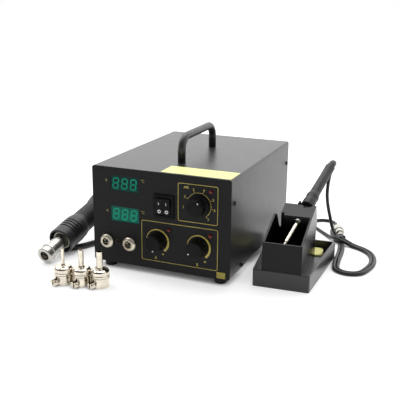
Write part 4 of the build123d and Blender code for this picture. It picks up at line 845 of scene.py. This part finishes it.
# %% Ribbed grip
GRIP_START, GRIP_END, PLAIN_ENDS, RIB_PITCH, RIB_HEIGHT = 81.0, 197.0, 5.0, 2.9, 0.32
steps = np.linspace(GRIP_START, GRIP_END, 481)
swell = np.interp(steps, [81, 89, 127, 157, 183, 194, 197], [16.4, 15.8, 15.2, 15.6, 16.2, 15.4, 13.4])
ribbed = np.abs(steps - (GRIP_START + GRIP_END) / 2) < (GRIP_END - GRIP_START) / 2 - PLAIN_ENDS
ripple = RIB_HEIGHT * np.cos(2 * np.pi * steps / RIB_PITCH) * ribbed
outline = np.column_stack([swell + ripple - RIB_HEIGHT, steps])
grip_profile = np.vstack([(0, GRIP_START), outline, (0, GRIP_END)])
stand_in(shell("ribbed_grip", [turned(grip_profile, gun_axes, 72)]), "gun_plastic", "handpiece", "gun_grip")
print("grip", GRIP_END - GRIP_START, "mm long")

# %% Sleeve at the shroud's mouth
sleeve_profile = [(9.7, 39.0), (12.7, 39.0), (13.2, 39.6), (13.2, 50.0), (15.6, 50.0), (15.6, 52.0),
                  (9.7, 52.0), (9.7, 39.0)]
dress(shell("barrel_sleeve", [turned(sleeve_profile, gun_axes)]), "sleeve_steel", "handpiece")
print("sleeve set in the shroud")

# %% [markdown]
# ## The sponge
#
# A slice of cellulose with a round hole lies in the stand's tray. Its shape is
# a closed ring: from the hole's edge out over the top, down the side and back
# underneath, for every angle. Small waves keep the cut faces from being flat.

# %% Sponge
sponge_low, sponge_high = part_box("sponge")
SPONGE_W, SPONGE_D, SPONGE_T, SPONGE_TURN, HOLE_R, HOLE_X = 63.6, 29.6, 7.9, np.radians(3.3), 5.0, 8.0
SQUARENESS, BULGE, WAVE = 5.0, 0.35, 0.18
around = np.linspace(0, 2 * np.pi, 121)[:-1]
east_part = np.abs(np.cos(around) / (SPONGE_W / 2)) ** SQUARENESS
north_part = np.abs(np.sin(around) / (SPONGE_D / 2)) ** SQUARENESS
reach = (east_part + north_part) ** (-1 / SQUARENESS)
rim = np.column_stack([np.cos(around), np.sin(around)]) * reach[:, None]
hole = np.column_stack([HOLE_X + HOLE_R * np.cos(around), HOLE_R * np.sin(around)])
across_steps = np.concatenate([np.linspace(0, 1, 15), np.ones(4), np.linspace(1, 0, 15), np.zeros(4)])
height_steps = np.concatenate([np.full(15, 1.0), [0.8, 0.6, 0.4, 0.2], np.zeros(15), [0.2, 0.4, 0.6, 0.8]])
plan = hole[None] + across_steps[:, None, None] * (rim - hole)[None]
bulge = BULGE * (1 - np.abs(2 * height_steps - 1)) * (across_steps > 0.5)
plan = plan * (1 + bulge / SPONGE_D)[:, None, None]
wave = WAVE * np.sin(plan[..., 0] * 0.9) * np.cos(plan[..., 1] * 1.3 + plan[..., 0] * 0.4)
height = height_steps[:, None] * SPONGE_T + wave * (height_steps[:, None] > 0.5)
east = plan[..., 0] * np.cos(SPONGE_TURN) - plan[..., 1] * np.sin(SPONGE_TURN)
north = plan[..., 0] * np.sin(SPONGE_TURN) + plan[..., 1] * np.cos(SPONGE_TURN)
sponge_middle = np.array((sponge_low + sponge_high) / 2)
sponge_grid = np.stack([sponge_middle[0] + east * MM, sponge_middle[1] + north * MM,
                        sponge_low.z + height * MM], axis=-1)
sponge = shell("cleaning_sponge", [sponge_grid], closed=True)
stand_in(sponge, "sponge_yellow", "wiping_sponge", "sponge")
print("sponge box", [round(v, 4) for v in sponge_low], [round(v, 4) for v in sponge_high])

# %% [markdown]
# ## The tie round the hank
#
# A soft band is wound round the strands where they cross. It is a flat strip
# carried round a rounded-square path: each turn lies beside the last, over its
# edge by a little, and is slightly narrower.

# %% Cord tie
tie_low, tie_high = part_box("cord_tie")
tie_middle = np.array((tie_low + tie_high) / 2)
bundle = np.array([0.80, -0.60, 0.0])
sideways = np.array([0.60, 0.80, 0.0])
TIE_HALF_W, TIE_HALF_H, TIE_TURNS, TURN_SHRINK = 7.4, 4.7, 3, 0.4
BAND_W, BAND_T, BAND_STEP, FLATTER = 3.0, 0.9, 0.96, 0.6
loop_angle = np.linspace(0, 2 * np.pi, 49)[:-1]
square = (np.abs(np.cos(loop_angle)) ** 4 + np.abs(np.sin(loop_angle)) ** 4) ** -0.25
ring_points = np.column_stack([np.cos(loop_angle) * square, np.sin(loop_angle) * square])
band_section = np.array([(-0.5, 0), (-0.4, 1), (0.4, 1), (0.5, 0), (0.4, -0.15), (-0.4, -0.15)])
bands = []
for turn in range(TIE_TURNS):
    offset = (turn - (TIE_TURNS - 1) / 2) * BAND_W * BAND_STEP
    width = ring_points[:, 0, None] * (TIE_HALF_W - TURN_SHRINK * turn + band_section[None, :, 1] * BAND_T)
    height = ring_points[:, 1, None] * (TIE_HALF_H + band_section[None, :, 1] * BAND_T * FLATTER)
    along = offset + band_section[None, :, 0] * BAND_W + 0 * width
    bands.append(tie_middle + (along[..., None] * bundle + width[..., None] * sideways
                               + height[..., None] * np.array([0, 0, 1.0])) * MM)
tie = shell("hank_tie", bands, closed=True)
stand_in(tie, "tie_plastic", "iron", "cord_tie")
print("tie wound")

# %% [markdown]
# ## Floor and light
#
# The portrait is taken on a white sweep in a bright room. The floor adds a
# little light of its own, only where the camera or a reflection sees it, so it
# stays white to the horizon and still takes soft shadows. That light fades
# where something stands within 3 cm, or it would wash out the dark line where
# the case meets the bench. The room is a pale sky that is dimmer behind the
# camera, which keeps the front panel dark. Two soft lamps, one overhead and
# one on the left, give the top its sheen.

# %% Floor
FLOOR_HALF, SHADE_REACH = 12.0, 0.03
GLOW_SEEN, GLOW_MIRRORED = 0.62, 0.85
floor_mesh = bpy.data.meshes.new("sweep")
floor_corners = [(x * FLOOR_HALF, y * FLOOR_HALF, 0.0) for x, y in ((-1, -1), (1, -1), (1, 1), (-1, 1))]
floor_mesh.from_pydata(floor_corners, [], [(0, 1, 2, 3)])
add_object("sweep", floor_mesh)


def seen_directly(tree):
    """1 where a camera, glossy or transmission ray meets the surface, else 0."""
    rays = tree.nodes.new("ShaderNodeLightPath")
    seen = rays.outputs["Is Camera Ray"]
    for ray in ("Is Glossy Ray", "Is Transmission Ray"):
        either = tree.nodes.new("ShaderNodeMath")
        either.operation = "MAXIMUM"
        tree.links.new(seen, either.inputs[0])
        tree.links.new(rays.outputs[ray], either.inputs[1])
        seen = either.outputs["Value"]
    return seen


def white_sweep():
    """Diffuse white, lifted by its own light where it is seen directly and nothing is close above it."""
    material = bpy.data.materials.new("white_sweep")
    material.use_nodes = True
    tree = material.node_tree
    tree.nodes.clear()
    output = tree.nodes.new("ShaderNodeOutputMaterial")
    lift = tree.nodes.new("ShaderNodeMixShader")
    plain = tree.nodes.new("ShaderNodeBsdfDiffuse")
    plain.inputs["Color"].default_value = (0.8, 0.8, 0.8, 1.0)
    lifted = tree.nodes.new("ShaderNodeAddShader")
    soft = tree.nodes.new("ShaderNodeBsdfDiffuse")
    soft.inputs["Color"].default_value = (0.5, 0.5, 0.5, 1.0)
    glow = tree.nodes.new("ShaderNodeEmission")
    open_sky = tree.nodes.new("ShaderNodeAmbientOcclusion")
    open_sky.samples = 8
    open_sky.inputs["Distance"].default_value = SHADE_REACH
    rays = tree.nodes.new("ShaderNodeLightPath")
    strength = tree.nodes.new("ShaderNodeMath")
    strength.operation = "MULTIPLY"
    tree.links.new(spread(tree, open_sky.outputs["AO"], 0.15, 0.5), strength.inputs[0])
    glow_level = spread(tree, rays.outputs["Is Glossy Ray"], 0, 1, GLOW_SEEN, GLOW_MIRRORED)
    tree.links.new(glow_level, strength.inputs[1])
    tree.links.new(strength.outputs["Value"], glow.inputs["Strength"])
    tree.links.new(soft.outputs["BSDF"], lifted.inputs[0])
    tree.links.new(glow.outputs["Emission"], lifted.inputs[1])
    tree.links.new(seen_directly(tree), lift.inputs["Fac"])
    tree.links.new(plain.outputs["BSDF"], lift.inputs[1])
    tree.links.new(lifted.outputs["Shader"], lift.inputs[2])
    tree.links.new(lift.outputs["Shader"], output.inputs["Surface"])
    return material


floor_mesh.materials.append(white_sweep())
print("floor", 2 * FLOOR_HALF, "m wide")

# %% Room
DIM_SIDE, BRIGHT_SIDE = 0.12, 1.75


def pale_sky():
    """A world whose light grows from near to far, and which the camera sees as plain white."""
    world = bpy.data.worlds.new("room")
    world.use_nodes = True
    tree = world.node_tree
    room = tree.nodes["Background"]
    room.inputs["Color"].default_value = (1.0, 1.0, 1.0, 1.0)
    depth = spread(tree, place_along(tree, "Y", "Generated"), -0.7, 0.8, DIM_SIDE, BRIGHT_SIDE)
    tree.links.new(depth, room.inputs["Strength"])
    backdrop = tree.nodes.new("ShaderNodeBackground")
    backdrop.inputs["Color"].default_value = (1.0, 1.0, 1.0, 1.0)
    rays = tree.nodes.new("ShaderNodeLightPath")
    mixer = tree.nodes.new("ShaderNodeMixShader")
    tree.links.new(rays.outputs["Is Camera Ray"], mixer.inputs["Fac"])
    tree.links.new(room.outputs["Background"], mixer.inputs[1])
    tree.links.new(backdrop.outputs["Background"], mixer.inputs[2])
    tree.links.new(mixer.outputs["Shader"], tree.nodes["World Output"].inputs["Surface"])
    return world


bpy.context.scene.world = pale_sky()
print("room lit from", DIM_SIDE, "to", BRIGHT_SIDE)


# %% Lamps
LAMPS_AIM = (0, 0, 0.05)


def soft_lamp(name, place, size, watts):
    light = bpy.data.lights.new(name, "AREA")
    light.shape = "SQUARE"
    light.size = size
    light.energy = watts
    lamp = add_object(name, light)
    lamp.location = place
    lamp.rotation_euler = (Vector(LAMPS_AIM) - Vector(place)).to_track_quat("-Z", "Y").to_euler()


soft_lamp("overhead", (-0.2, 0.5, 1.6), 1.4, 16.0)
soft_lamp("key_left", (-1.2, 0.1, 1.4), 0.8, 9.0)
bpy.context.scene.view_settings.view_transform = "Standard"
print("lamps", len(bpy.data.lights))
